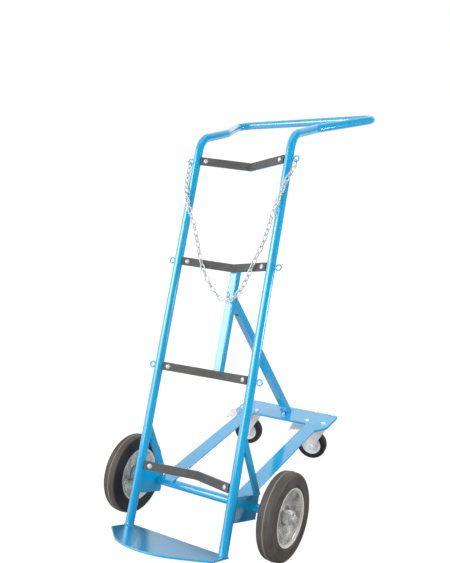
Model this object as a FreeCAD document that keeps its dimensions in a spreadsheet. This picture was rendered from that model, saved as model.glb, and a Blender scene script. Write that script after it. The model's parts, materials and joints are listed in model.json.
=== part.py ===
import FreeCAD, Part
import math
import os
import re

import Sketcher
from FreeCAD import Placement, Rotation, Vector

# Gas cylinder cart, standing at rest: it leans back on two main wheels and two swivel castors.
# World frame: +X to the cart's left-hand user side, -Y towards the cylinder, +Z up, floor at Z = 0.
# Leaning frame: x across, n square to the uprights towards the rear, t up along the uprights from
# the top of the foot plate.

doc = FreeCAD.newDocument("gas_cylinder_cart")
sheet = doc.addObject("Spreadsheet::Sheet", "sizes")

DRIVING_SIZES = [
    ("lean_angle", 25.75, "uprights lean back from the vertical, degrees"),
    ("clear_gap", 0.3, "gap between pieces that move past each other"),
    ("seat_gap", 0.05, "gap left at a welded or seated curved face"),
    ("run_gap", 0.05, "radial clearance of a shaft in its bore"),
    ("tube_od", 26.9, "side tube, outside"),
    ("tube_wall", 2.3, "side tube, wall"),
    ("upright_spacing", 332.7, "between the centre lines of the uprights"),
    ("neck_height", 1219.2, "foot plate top to the corner where the tube turns back"),
    ("neck_bend", 68, "bend radius at the neck"),
    ("handle_angle", 29.05, "handle plane above the square to the uprights, degrees"),
    ("arm_straight", 160, "neck corner to the corner where the arm flares out"),
    ("arm_reach", 434, "neck corner to the push bar, in the handle plane"),
    ("handle_width", 574, "between the corners of the push bar"),
    ("flare_bend", 65, "bend radius where the arm flares"),
    ("corner_bend", 45, "bend radius at the push bar's corners"),
    ("foot_width", 353.4, "foot plate, across"),
    ("foot_back", 16, "foot plate, behind the upright centre line"),
    ("foot_side", 70, "foot plate, straight side ahead of the centre line"),
    ("foot_depth", 185, "foot plate, tip ahead of the centre line"),
    ("foot_nose", 200, "foot plate, chord of its round nose"),
    ("foot_nose_depth", 38.5, "foot plate, depth of its round nose"),
    ("foot_thick", 5, "foot plate, thickness"),
    ("band_drop", 75.7, "highest cross band below the neck corner"),
    ("band_pitch_high", 331.3, "highest to second cross band"),
    ("band_pitch_low", 332.6, "second to third cross band"),
    ("band_base", 178.4, "lowest cross band above the foot plate"),
    ("band_width", 25, "cross band, along the uprights"),
    ("band_thick", 4, "cross band, thickness"),
    ("vee_angle", 23.3, "each half of a cross band turns back by, degrees"),
    ("vee_front", 60.5, "rubber face behind the centre line at the vee's middle"),
    ("strip_thick", 5, "rubber strip, thickness"),
    ("strip_short", 3, "rubber strip's end stays this far from the tube"),
    ("screw_inset", 32.4, "strip screw inboard of the upright centre line"),
    ("screw_shank", 6, "strip screw, shank diameter"),
    ("screw_head", 15, "strip screw, head diameter"),
    ("screw_dome", 4, "strip screw, head height"),
    ("screw_nut", 10, "strip nut, across the flats"),
    ("screw_nut_thick", 5, "strip nut, thickness"),
    ("eye_od", 22, "chain eye, outside"),
    ("eye_wire", 5.5, "chain eye, wire"),
    ("post_side", 25, "square tube of the centre post and the strut"),
    ("post_wall", 2, "square tube wall"),
    ("strut_drop", 98.2, "strut meets the post below the second cross band"),
    ("strut_reach", 553, "strut meets the castor plate behind the axle"),
    ("slot_from_top", 48, "slot in the strut below its upper end"),
    ("slot_width", 12, "slot in the strut, across"),
    ("slot_height", 6, "slot in the strut, along it"),
    ("lug_width", 25, "strut lug, across"),
    ("lug_thick", 3, "strut lug, thickness"),
    ("lug_cheek", 32, "strut lug, along the strut"),
    ("lug_toe", 24, "strut lug, along the plate from the strut's heel"),
    ("lug_screw", 6, "strut lug screw, diameter"),
    ("lug_screw_lead", 14.5, "strut lug screw ahead of the strut's heel"),
    ("lug_head", 10, "strut lug screw and nut, across the flats"),
    ("lug_head_thick", 4, "strut lug screw head and nut, thickness"),
    ("axle_back", 116.2, "axle behind the upright centre line"),
    ("axle_up", 125.5, "axle above the foot plate"),
    ("axle_tube_od", 25, "axle tube, outside"),
    ("axle_dia", 20, "axle shaft, diameter"),
    ("axle_pin", 4, "axle split pin, diameter"),
    ("washer_od", 36, "axle washer, outside"),
    ("washer_thick", 3, "axle washer, thickness"),
    ("axle_end", 9, "axle shaft past its outer washer"),
    ("axle_plate_thick", 5, "side plate between upright and axle"),
    ("axle_plate_height", 72, "side plate, along the uprights"),
    ("axle_plate_tail", 20, "side plate behind the axle"),
    ("axle_plate_out", 8.5, "side plate and brace outboard of the upright's centre line"),
    ("brace_depth", 23, "brace, fore and aft"),
    ("brace_wide", 8, "brace, across the cart"),
    ("brace_height", 312, "brace meets the upright above the foot plate"),
    ("brace_foot", 8, "brace meets the side plate behind the axle"),
    ("wheel_dia", 250, "main wheel, over the tyre"),
    ("wheel_track", 547.2, "between the main wheels' middle planes"),
    ("tyre_width", 50, "main tyre, width"),
    ("tyre_tread", 34, "main tyre, flat of the tread"),
    ("tyre_shoulder", 13, "main tyre, shoulder height"),
    ("tyre_round", 6, "main tyre, rounding of the shoulder"),
    ("rim_dia", 158, "tyre seat, diameter"),
    ("rim_lip", 3, "rim flange above the tyre seat"),
    ("rim_sheet", 2.5, "pressed rim, sheet thickness"),
    ("rim_width", 47, "rim, over its flanges"),
    ("rim_web", 80, "rim, flat middle diameter"),
    ("hub_dia", 40, "main wheel hub, diameter"),
    ("hub_length", 50, "main wheel hub, length"),
    ("plate_top", 155, "castor plate's upper face above the floor"),
    ("plate_thick", 8, "castor plate, thickness"),
    ("plate_front", 493, "castor plate's front edge behind the axle"),
    ("plate_back", 590, "castor plate's rear edge behind the axle"),
    ("plate_width", 372, "castor plate, across"),
    ("plate_ear", 38, "castor plate's corner gusset, along the bar"),
    ("plate_corner", 8, "castor plate, corner radius"),
    ("bar_offset", 131, "rear bar's middle from the cart's middle"),
    ("bar_width", 50, "rear bar, width"),
    ("bar_thick", 5, "rear bar, thickness"),
    ("bar_nose", 12, "rear bar ahead of the axle"),
    ("castor_offset", 134, "castor's swivel axis from the cart's middle"),
    ("castor_back", 549, "castor's swivel axis behind the axle"),
    ("castor_angle", 11.3, "castors swung round from straight sideways, degrees"),
    ("castor_dia", 105, "castor wheel, diameter"),
    ("castor_width", 34, "castor wheel, tread width"),
    ("castor_trail", 32.5, "castor wheel behind its swivel axis"),
    ("castor_rim", 68, "castor tyre's seat, diameter"),
    ("castor_round", 6, "castor tyre, shoulder rounding"),
    ("castor_hub", 24, "castor hub, diameter"),
    ("castor_axle", 10, "castor axle bolt, diameter"),
    ("castor_nut", 16, "castor axle bolt head and nut, across the flats"),
    ("castor_nut_thick", 6, "castor axle bolt head and nut, thickness"),
    ("top_length", 105, "castor top plate, fore and aft"),
    ("top_width", 85, "castor top plate, across"),
    ("top_thick", 4, "castor top plate, thickness"),
    ("bolt_pitch_long", 79, "castor bolts, fore and aft"),
    ("bolt_pitch_wide", 62.5, "castor bolts, across"),
    ("bolt_dia", 8, "castor bolt, diameter"),
    ("bolt_head", 13, "castor bolt and nut, across the flats"),
    ("bolt_head_thick", 5.5, "castor bolt and nut, thickness"),
    ("race_dia", 54, "castor swivel race, diameter"),
    ("race_thick", 9, "castor swivel race, thickness"),
    ("king_dia", 12, "castor king pin, diameter"),
    ("king_head", 20, "castor king pin head, diameter"),
    ("king_head_thick", 4, "castor king pin head, thickness"),
    ("fork_sheet", 3, "castor fork, sheet thickness"),
    ("fork_inside", 40, "castor fork, between its legs"),
    ("fork_crown_thick", 5, "castor fork crown, thickness"),
    ("fork_eye", 15, "castor fork, radius around the axle"),
    ("pedal_back", 54, "brake pedal's pivot behind the swivel axis"),
    ("pedal_up", 113, "brake pedal's pivot above the floor"),
    ("pedal_pin", 6, "brake pedal's pivot pin, diameter"),
    ("pedal_barrel", 10, "brake pedal's barrel, diameter"),
    ("pedal_inside", 36, "brake pedal between the fork legs"),
    ("pedal_tread", 60, "brake pedal's tread, across"),
    ("pedal_reach", 50, "brake pedal's tread past the pivot"),
    ("pedal_thick", 3.5, "brake pedal, sheet thickness"),
    ("shoe_length", 10.5, "brake shoe's tip from the pedal's pivot"),
    ("shoe_thick", 6, "brake shoe, thickness"),
    ("shoe_width", 24, "brake shoe, across the tyre"),
    ("shoe_angle", 20.4, "brake shoe swung back from straight down at rest, degrees"),
    ("link_wire", 4, "chain link, wire"),
    ("link_length", 19.2, "chain link, inside length"),
    ("link_width", 8, "chain link, inside width"),
    ("link_slack", 0.5, "play between one link and the next"),
]

# Heights that follow from the sizes above: the bands hang from the neck, the strut from a band.
FOLLOWING_SIZES = [
    ("band_top", "=neck_height - band_drop", "highest cross band above the foot plate"),
    ("band_upper", "=band_top - band_pitch_high", "second cross band above the foot plate"),
    ("band_lower", "=band_upper - band_pitch_low", "third cross band above the foot plate"),
    ("strut_height", "=band_upper - strut_drop", "strut meets the post above the foot plate"),
]

for row, (alias, content, note) in enumerate(DRIVING_SIZES + FOLLOWING_SIZES, start=1):
    sheet.set(f"A{row}", note)
    sheet.set(f"B{row}", str(content))
    sheet.setAlias(f"B{row}", alias)
doc.recompute()

ALIASES = {alias for alias, content, note in DRIVING_SIZES + FOLLOWING_SIZES}
SIDES = (("left", -1), ("right", 1))
BAND_CELLS = ("band_top", "band_upper", "band_lower", "band_base")

subparts = {}


def size(text):
    """The number that a formula of sheet names gives."""
    return float(sheet.evalExpression(text))


def bound(text):
    """The same formula, with each sheet name written as a reference to its cell."""
    return re.sub(r"[a-z_]+", lambda word: f"sizes.{word[0]}" if word[0] in ALIASES else word[0], text)


def bind(feature, **formulas):
    for prop, text in formulas.items():
        feature.setExpression(prop, bound(text))
    return feature


def name_part(feature, label, placement=None):
    """Gives a finished sub-part its label and its place."""
    feature.Label = label
    if placement is not None:
        feature.Placement = placement
    subparts[label] = feature
    return feature


# The leaning frame

LEAN = math.radians(size("lean_angle"))
RISE = math.radians(size("handle_angle"))
SPACING = size("upright_spacing")
TUBE_RADIUS = size("tube_od / 2")


def lean_offset(n, t):
    """World Y and Z of a leaning point, measured from the frame's origin."""
    return n * math.cos(LEAN) + t * math.sin(LEAN), t * math.cos(LEAN) - n * math.sin(LEAN)


bar_n = size("arm_reach") * math.cos(RISE)
bar_t = size("neck_height") + size("arm_reach") * math.sin(RISE)
rear_reach = lean_offset(bar_n, bar_t)[0] + TUBE_RADIUS
front_reach = lean_offset(-size("foot_depth"), -size("foot_thick"))[0]
axle_y_offset, axle_z_offset = lean_offset(size("axle_back"), size("axle_up"))

# The part's origin is under the middle of its box, on the floor.
FOOT_Y = -(rear_reach + front_reach) / 2
FOOT_Z = size("wheel_dia / 2") - axle_z_offset
AXLE_Y = FOOT_Y + axle_y_offset
AXLE_Z = size("wheel_dia / 2")
LEAN_TURN = Rotation(Vector(1, 0, 0), -size("lean_angle"))


def lean_point(x, n, t):
    y, z = lean_offset(n, t)
    return Vector(x, FOOT_Y + y, FOOT_Z + z)


def lean_place(x=0, n=0, t=0, turn=Rotation()):
    return Placement(lean_point(x, n, t), LEAN_TURN * turn)


# Building blocks

def box(name, length, width, height, x="0", y="0", z="0"):
    """A block with its near lower corner at x, y, z."""
    block = doc.addObject("Part::Box", name)
    bind(block, Length=length, Width=width, Height=height)
    block.Placement = Placement(Vector(size(x), size(y), size(z)), Rotation())
    return block


def rod(name, diameter, length, base=Vector(), along=Vector(0, 0, 1)):
    """A round bar that starts at base and runs along a direction."""
    bar = doc.addObject("Part::Cylinder", name)
    bind(bar, Radius=f"({diameter}) / 2", Height=length)
    bar.Placement = Placement(base, Rotation(Vector(0, 0, 1), along))
    return bar


def hexagon(name, across_flats, length, base=Vector(), along=Vector(0, 0, 1)):
    prism = doc.addObject("Part::Prism", name)
    prism.Polygon = 6
    bind(prism, Circumradius=f"({across_flats}) / sqrt(3)", Height=length)
    prism.Placement = Placement(base, Rotation(Vector(0, 0, 1), along))
    return prism


def cut(name, base, *tools):
    """The base with each tool taken away in turn."""
    for number, tool in enumerate(tools):
        result = doc.addObject("Part::Cut", f"{name}_{number}")
        result.Base = base
        result.Tool = tool
        base = result
    return base


def join(name, *pieces):
    whole = doc.addObject("Part::MultiFuse", name)
    whole.Shapes = list(pieces)
    whole.Refine = True
    return whole


def pipe(name, outside, inside, length, base=Vector(), along=Vector(0, 0, 1)):
    outer = rod(f"{name}_outside", outside, length, base, along)
    inner = rod(f"{name}_inside", inside, length, base, along)
    return cut(name, outer, inner)


def origin_plane(body, role):
    return next(feature for feature in body.Origin.OriginFeatures if feature.Role == role)


def sketch_on(body, name, role):
    sketch = body.newObject("Sketcher::SketchObject", name)
    sketch.AttachmentSupport = [(origin_plane(body, role), "")]
    sketch.MapMode = "FlatFace"
    return sketch


def draw_outline(sketch, corners, arc_edges=None):
    """A closed outline through corners given as formulas; an arc edge is (middle point, radius)."""
    arc_edges = arc_edges or {}
    points = [Vector(size(x), size(y), 0) for x, y in corners]
    ends = []
    for number, start in enumerate(points):
        finish = points[(number + 1) % len(points)]
        if number in arc_edges:
            (middle_x, middle_y), radius = arc_edges[number]
            middle = Vector(size(middle_x), size(middle_y), 0)
            edge = sketch.addGeometry(Part.Arc(start, middle, finish), False)
            dimension = sketch.addConstraint(Sketcher.Constraint("Radius", edge, size(radius)))
            sketch.setExpression(f"Constraints[{dimension}]", bound(radius))
        else:
            edge = sketch.addGeometry(Part.LineSegment(start, finish), False)
        first = 1 if sketch.getPoint(edge, 1).distanceToPoint(start) < 1e-6 else 2
        ends.append((edge, first, 3 - first))
    for number, (edge, first, last) in enumerate(ends):
        next_edge, next_first, next_last = ends[(number + 1) % len(ends)]
        sketch.addConstraint(Sketcher.Constraint("Coincident", edge, last, next_edge, next_first))
        for kind, axis, text in zip(("DistanceX", "DistanceY"), (-2, -1), corners[number]):
            if text == "0":
                sketch.addConstraint(Sketcher.Constraint("PointOnObject", edge, first, axis))
                continue
            dimension = sketch.addConstraint(Sketcher.Constraint(kind, -1, 1, edge, first, size(text)))
            sketch.setExpression(f"Constraints[{dimension}]", bound(text))


def padded(name, corners, thickness, role="XY_Plane", middle=True, arc_edges=None):
    """A plate: an outline padded by a thickness, about its plane or up from it."""
    body = doc.addObject("PartDesign::Body", name)
    sketch = sketch_on(body, f"{name}_outline", role)
    draw_outline(sketch, corners, arc_edges)
    pad = body.newObject("PartDesign::Pad", f"{name}_pad")
    pad.Profile = sketch
    bind(pad, Length=thickness)
    pad.Midplane = middle
    doc.recompute()
    return body


def revolved(name, corners):
    """A turned piece: an outline of (along the X axis, radius) revolved about the X axis."""
    body = doc.addObject("PartDesign::Body", name)
    sketch = sketch_on(body, f"{name}_section", "XY_Plane")
    draw_outline(sketch, corners)
    turned = body.newObject("PartDesign::Revolution", f"{name}_turned")
    turned.Profile = sketch
    turned.ReferenceAxis = (sketch, ["H_Axis"])
    turned.Angle = 360
    doc.recompute()
    return body


def round_edges(body, chosen, radius):
    """Fillets the edges of a body's last feature that the test picks."""
    base = body.Tip
    names = [f"Edge{i}" for i, edge in enumerate(base.Shape.Edges, start=1) if chosen(edge)]
    fillet = body.newObject("PartDesign::Fillet", f"{body.Name}_round")
    fillet.Base = (base, names)
    bind(fillet, Radius=radius)
    doc.recompute()
    return body


def group(label, template, places):
    """Equal pieces in one sub-part: the template's shape at each place, as separate solids."""
    doc.recompute()
    solids = []
    for place in places:
        copy = template.Shape.copy()
        copy.Placement = place * copy.Placement
        solids.append(copy)
    pieces = doc.addObject("Part::Feature", label)
    pieces.Shape = Part.makeCompound(solids)
    return name_part(pieces, label)


# Side tubes: two straight uprights and the bent handle that runs on from them

NECK_TANGENT = size("neck_bend") * math.tan((math.pi / 2 - RISE) / 2)
UPRIGHT_TOP = size("neck_height") - NECK_TANGENT

for side, sign in SIDES:
    upright = pipe(f"upright_{side}", "tube_od", "tube_od - 2 * tube_wall", "neck_height")
    for solid in (upright.Base, upright.Tool):
        solid.setExpression("Height", None)
        solid.Height = UPRIGHT_TOP
    name_part(upright, f"upright_{side}", lean_place(sign * SPACING / 2))


def bent_path(corners, bends):
    """Straight runs through corner points, with an arc of the given radius at each inner corner."""
    edges = []
    start = corners[0]
    for before, corner, after, radius in zip(corners, corners[1:], corners[2:], bends):
        inward = (before - corner).normalize()
        outward = (after - corner).normalize()
        half_turn = (math.pi - inward.getAngle(outward)) / 2
        reach = radius * math.tan(half_turn)
        entry = corner + inward * reach
        leave = corner + outward * reach
        bisector = (inward + outward).normalize()
        crown = corner + bisector * (radius / math.cos(half_turn) - radius)
        if (entry - start).Length > 1e-6:
            edges.append(Part.LineSegment(start, entry).toShape())
        edges.append(Part.Arc(entry, crown, leave).toShape())
        start = leave
    if (corners[-1] - start).Length > 1e-6:
        edges.append(Part.LineSegment(start, corners[-1]).toShape())
    return Part.Wire(edges)


def handle_point(x, along):
    """A point of the handle plane: x across, along from the neck corner towards the push bar."""
    return Vector(x, along * math.cos(RISE), size("neck_height") + along * math.sin(RISE))


half_path = [
    (SPACING / 2, 0),
    (SPACING / 2, size("arm_straight")),
    (size("handle_width / 2"), size("arm_reach")),
]
handle_corners = [Vector(-SPACING / 2, 0, UPRIGHT_TOP)]
handle_corners += [handle_point(-x, along) for x, along in half_path]
handle_corners += [handle_point(x, along) for x, along in reversed(half_path)]
handle_corners.append(Vector(SPACING / 2, 0, UPRIGHT_TOP))
half_bends = [size("neck_bend"), size("flare_bend"), size("corner_bend")]
handle_path = doc.addObject("Part::Feature", "handle_path")
handle_path.Shape = bent_path(handle_corners, half_bends + half_bends[::-1])


def swept(name, diameter, path):
    circle = doc.addObject("Part::Circle", f"{name}_section")
    bind(circle, Radius=f"({diameter}) / 2")
    circle.Placement = Placement(path.Shape.Vertexes[0].Point, Rotation())
    sweep = doc.addObject("Part::Sweep", name)
    sweep.Sections = [circle]
    sweep.Spine = (path, [f"Edge{i + 1}" for i in range(len(path.Shape.Edges))])
    sweep.Solid = True
    sweep.Transition = "Right corner"
    return sweep


handle_outside = swept("handle_outside", "tube_od", handle_path)
handle_inside = swept("handle_inside", "tube_od - 2 * tube_wall", handle_path)
name_part(cut("handle", handle_outside, handle_inside), "handle", lean_place())

# Foot plate: straight back and sides, slanted corners and a round nose, square to the uprights

foot_half = "foot_width / 2"
nose_half = "foot_nose / 2"
nose_back = "-(foot_depth - foot_nose_depth)"
nose_radius = "(foot_nose * foot_nose / 4 + foot_nose_depth * foot_nose_depth) / (2 * foot_nose_depth)"
foot_plate = padded(
    "foot_plate",
    [
        (f"-{foot_half}", "foot_back"),
        (f"-{foot_half}", "-foot_side"),
        (f"-{nose_half}", nose_back),
        (nose_half, nose_back),
        (foot_half, "-foot_side"),
        (foot_half, "foot_back"),
    ],
    "foot_thick",
    middle=False,
    arc_edges={2: (("0", "-foot_depth"), nose_radius)},
)
name_part(foot_plate, "foot_plate", lean_place(t=-size("foot_thick")))

# Cross bands: flat bars bent to a shallow vee that cradles the cylinder, each faced with rubber

VEE = math.radians(size("vee_angle"))
vee_slope = "tan(vee_angle)"
vee_skin = "cos(vee_angle)"


def vee_outline(near, far, reach):
    """The vee between two layers, near and far from the rubber face, out to a half length."""
    front = f"(vee_front + ({near}) / {vee_skin})"
    back = f"(vee_front + ({far}) / {vee_skin})"
    fall = f"(({reach}) * {vee_slope})"
    return [
        ("0", front),
        (reach, f"{front} - {fall}"),
        (reach, f"{back} - {fall}"),
        ("0", back),
        (f"-({reach})", f"{back} - {fall}"),
        (f"-({reach})", f"{front} - {fall}"),
    ]


def vee_screw_place(sign, level, depth=0):
    """On a vee's screw line, depth behind the rubber face, with +Z square to the face, forwards."""
    x = SPACING / 2 - size("screw_inset")
    n = size("vee_front") - x * math.tan(VEE)
    local = Vector(sign * (x + depth * math.sin(VEE)), n + depth * math.cos(VEE), level)
    forwards = Vector(-sign * math.sin(VEE), -math.cos(VEE), 0)
    return Placement(local, Rotation(Vector(0, 0, 1), forwards))


LAYERS = "strip_thick + band_thick"
SCREW_HOLE = "screw_shank + 2 * run_gap"
lean_frame = lean_place()
screw_places = []
for number, cell in enumerate(BAND_CELLS, start=1):
    level = size(cell)
    band = padded(f"cross_band_{number}_bar", vee_outline("strip_thick", LAYERS, "upright_spacing / 2"), "band_width")
    strip = padded(
        f"rubber_strip_{number}_bar",
        vee_outline("0", "strip_thick", "upright_spacing / 2 - tube_od / 2 - strip_short"),
        "band_width",
    )
    holes = []
    copes = []
    for side, sign in SIDES:
        screw_places.append(lean_frame * vee_screw_place(sign, level))
        for layer in ("band", "strip"):
            hole = rod(f"hole_{layer}_{number}_{side}", SCREW_HOLE, f"2 * ({LAYERS}) + 20")
            hole.Placement = vee_screw_place(sign, 0, size(LAYERS) + 10)
            holes.append(hole)
        cope = rod(f"cope_{number}_{side}", "tube_od + 2 * seat_gap", "3 * band_width")
        cope.Placement = Placement(Vector(sign * SPACING / 2, 0, -1.5 * size("band_width")), Rotation())
        copes.append(cope)
    band_cut = cut(f"cross_band_{number}_cut", band, holes[0], holes[2], *copes)
    strip_cut = cut(f"rubber_strip_{number}_cut", strip, holes[1], holes[3])
    name_part(band_cut, f"cross_band_{number}", lean_place(t=level))
    name_part(strip_cut, f"rubber_strip_{number}", lean_place(t=level))

# Strip screws: a domed head on the rubber, a shank through both layers and a nut behind

screw_end = f"-({LAYERS} + screw_nut_thick + 1.5)"
dome = revolved(
    "screw_template",
    [
        (screw_end, "0"),
        ("screw_dome", "0"),
        ("screw_dome", "screw_head / 4"),
        ("screw_dome / 3", "screw_head / 2"),
        ("0", "screw_head / 2"),
        ("0", "screw_shank / 2"),
        (screw_end, "screw_shank / 2"),
    ],
)
TURN_UP = Placement(Vector(), Rotation(Vector(0, 1, 0), -90))
group("strip_screws", dome, [place * TURN_UP for place in screw_places])
nut_body = hexagon("strip_nut_body", "screw_nut", "screw_nut_thick")
nut_bore = rod("strip_nut_bore", "screw_shank + 2 * run_gap", "screw_nut_thick")
strip_nut = cut("strip_nut_template", nut_body, nut_bore)
nut_drop = Placement(Vector(0, 0, -size(f"{LAYERS} + screw_nut_thick")), Rotation())
group("strip_nuts", strip_nut, [place * nut_drop for place in screw_places])

# Chain eyes: wire rings welded outboard of the uprights, level with the three upper bands

EYE_OFFSET = SPACING / 2 + size("tube_od / 2 + eye_od / 2 + seat_gap")
EYE_RADIUS = size("(eye_od - eye_wire) / 2")
eye = doc.addObject("Part::Torus", "chain_eye_template")
bind(eye, Radius1="(eye_od - eye_wire) / 2", Radius2="eye_wire / 2")
FACE_FRONT = Rotation(Vector(1, 0, 0), 90)
for side, sign in SIDES:
    levels = [size(cell) for cell in BAND_CELLS[:3]]
    group(f"chain_eyes_{side}", eye, [lean_place(sign * EYE_OFFSET, 0, t, FACE_FRONT) for t in levels])

# Centre post: square tube on the backs of the two middle bands

POST_FRONT = size(f"vee_front + ({LAYERS}) / {vee_skin}")
POST_BASE = size("band_lower - band_width / 2")
post_height = "band_upper - band_lower + band_width"
post_outside = box("post_outside", "post_side", "post_side", post_height, "-post_side / 2")
post_inside = box(
    "post_inside",
    "post_side - 2 * post_wall",
    "post_side - 2 * post_wall",
    post_height,
    "post_wall - post_side / 2",
    "post_wall",
)
name_part(cut("centre_post", post_outside, post_inside), "centre_post", lean_place(0, POST_FRONT, POST_BASE))

# Rear strut: square tube from the post's back down to the castor plate

strut_top = lean_point(0, POST_FRONT + size("post_side"), size("strut_height"))
strut_base = Vector(0, AXLE_Y + size("strut_reach"), size("plate_top"))
strut_run = strut_base - strut_top
STRUT_DROP = math.atan2(strut_run.y, -strut_run.z)
LONG = 60
strut_length = strut_run.Length + 2 * LONG
# The strut's own frame: +Z along it downwards, +Y towards its lower, forward face.
strut_turn = Rotation(Vector(1, 0, 0), 180 + math.degrees(STRUT_DROP))
strut_place = Placement(strut_top, strut_turn) * Placement(Vector(0, 0, -LONG), Rotation())
strut_outside = box("strut_outside", "post_side", "post_side", "1", "-post_side / 2", "-post_side / 2")
strut_inside = box(
    "strut_inside",
    "post_side - 2 * post_wall",
    "post_side - 2 * post_wall",
    "1",
    "post_wall - post_side / 2",
    "post_wall - post_side / 2",
)
for solid in (strut_outside, strut_inside):
    solid.setExpression("Height", None)
    solid.Height = strut_length
strut_slot = box("strut_slot", "slot_width", "post_side", "slot_height", "-slot_width / 2")
strut_slot.Placement = Placement(
    Vector(-size("slot_width / 2"), 0, LONG + size("slot_from_top")), Rotation()
)
for solid in (strut_outside, strut_inside, strut_slot):
    solid.Placement = strut_place * solid.Placement
# The ends are cut by the post's back face and by the plate's upper face.
END_BLOCK = 400
post_side_cut = doc.addObject("Part::Box", "strut_post_cut")
plate_side_cut = doc.addObject("Part::Box", "strut_plate_cut")
for block in (post_side_cut, plate_side_cut):
    block.Length = block.Width = block.Height = END_BLOCK
post_side_cut.Placement = lean_place(
    -END_BLOCK / 2, POST_FRONT + size("post_side") - END_BLOCK, size("strut_height") - END_BLOCK / 2
)
plate_side_cut.Placement = Placement(
    Vector(-END_BLOCK / 2, strut_base.y - END_BLOCK / 2, size("plate_top") - END_BLOCK), Rotation()
)
rear_strut = cut("rear_strut", strut_outside, strut_inside, strut_slot, post_side_cut, plate_side_cut)
name_part(rear_strut, "rear_strut")

# Strut lug: folded strap, one leg up the strut's underside and one along the castor plate

STRUT_FACE = size("post_side / 2") / math.cos(STRUT_DROP)
lug_heel = Vector(0, strut_base.y - STRUT_FACE, size("plate_top"))
strut_axis = Vector(0, -math.sin(STRUT_DROP), math.cos(STRUT_DROP))
strut_square = Vector(0, -math.cos(STRUT_DROP), -math.sin(STRUT_DROP))
toe_reach = size("lug_toe")
cheek_reach = size("lug_cheek")
thick = size("lug_thick")
lug_inner = lug_heel + strut_square * size("seat_gap")
lug_points = [
    Vector(0, lug_inner.y, size("plate_top")),
    Vector(0, lug_inner.y - toe_reach, size("plate_top")),
    Vector(0, lug_inner.y - toe_reach, size("plate_top") + thick),
    lug_inner + Vector(0, -thick / math.cos(STRUT_DROP) - thick * math.tan(STRUT_DROP), thick),
    lug_inner + strut_axis * cheek_reach + strut_square * thick,
    lug_inner + strut_axis * cheek_reach,
]
lug_face = Part.Face(Part.makePolygon(lug_points + lug_points[:1]))
lug_solid = lug_face.extrude(Vector(size("lug_width"), 0, 0))
strut_lug = doc.addObject("Part::Feature", "strut_lug_strap")
strut_lug.Shape = lug_solid
strut_lug.Placement = Placement(Vector(-size("lug_width / 2"), 0, 0), Rotation())
lug_screw_y = lug_inner.y - size("lug_screw_lead")
LUG_STACK = "lug_thick + plate_thick"
lug_hole = rod(
    "lug_hole",
    "lug_screw + 2 * run_gap",
    "3 * lug_thick",
    Vector(0, lug_screw_y, size("plate_top - lug_thick")),
)
name_part(cut("strut_lug", strut_lug, lug_hole), "strut_lug")
lug_head = hexagon(
    "lug_screw_head", "lug_head", "lug_head_thick", Vector(0, lug_screw_y, size("plate_top + lug_thick"))
)
lug_shank = rod(
    "lug_screw_shank",
    "lug_screw",
    f"{LUG_STACK} + lug_head_thick + lug_screw / 4",
    Vector(0, lug_screw_y, size("plate_top - plate_thick - lug_head_thick - lug_screw / 4")),
)
name_part(join("strut_screw", lug_head, lug_shank), "strut_screw")
lug_nut_at = Vector(0, lug_screw_y, size("plate_top - plate_thick - lug_head_thick"))
lug_nut_body = hexagon("lug_nut_body", "lug_head", "lug_head_thick", lug_nut_at)
lug_nut_bore = rod("lug_nut_bore", "lug_screw + 2 * run_gap", "lug_head_thick", lug_nut_at)
name_part(cut("strut_nut", lug_nut_body, lug_nut_bore), "strut_nut")

# Castor plate: flat across the back, with a gusset at each outer corner beside the rear bar

bar_edge = "(bar_offset + bar_width / 2 + seat_gap)"
castor_plate = padded(
    "castor_plate_sheet",
    [
        ("plate_width / 2", "plate_back"),
        ("-plate_width / 2", "plate_back"),
        ("-plate_width / 2", "plate_front"),
        (f"-{bar_edge}", "plate_front - plate_ear"),
        (f"-{bar_edge}", "plate_front"),
        (bar_edge, "plate_front"),
        (bar_edge, "plate_front - plate_ear"),
        ("plate_width / 2", "plate_front"),
    ],
    "plate_thick",
    middle=False,
)


def at_outer_corner(edge):
    """An upright edge at one of the plate's four outer corners."""
    upright_edge = abs(edge.BoundBox.ZLength - size("plate_thick")) < 1e-6
    return upright_edge and abs(edge.BoundBox.XMax) > size("plate_width / 2") - 1e-3


round_edges(castor_plate, lambda edge: at_outer_corner(edge), "plate_corner")
castor_bolt_spots = []
for side, sign in SIDES:
    for across in (-1, 1):
        for along in (-1, 1):
            x = sign * size("castor_offset") + across * size("bolt_pitch_wide / 2")
            y = size("castor_back") + along * size("bolt_pitch_long / 2")
            castor_bolt_spots.append(Vector(x, y, 0))
plate_holes = [
    rod(f"plate_hole_{number}", "bolt_dia + 2 * run_gap", "plate_thick", spot)
    for number, spot in enumerate(castor_bolt_spots)
]
plate_holes.append(
    rod("plate_hole_lug", "lug_screw + 2 * run_gap", "plate_thick", Vector(0, lug_screw_y - AXLE_Y, 0))
)
PLATE_UNDER = size("plate_top - plate_thick")
plate_place = Placement(Vector(0, AXLE_Y, PLATE_UNDER), Rotation())
name_part(cut("castor_plate", castor_plate, *plate_holes), "castor_plate", plate_place)

# Rear bars: flat bars from the top of the axle tube to the castor plate, flush on top

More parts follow.
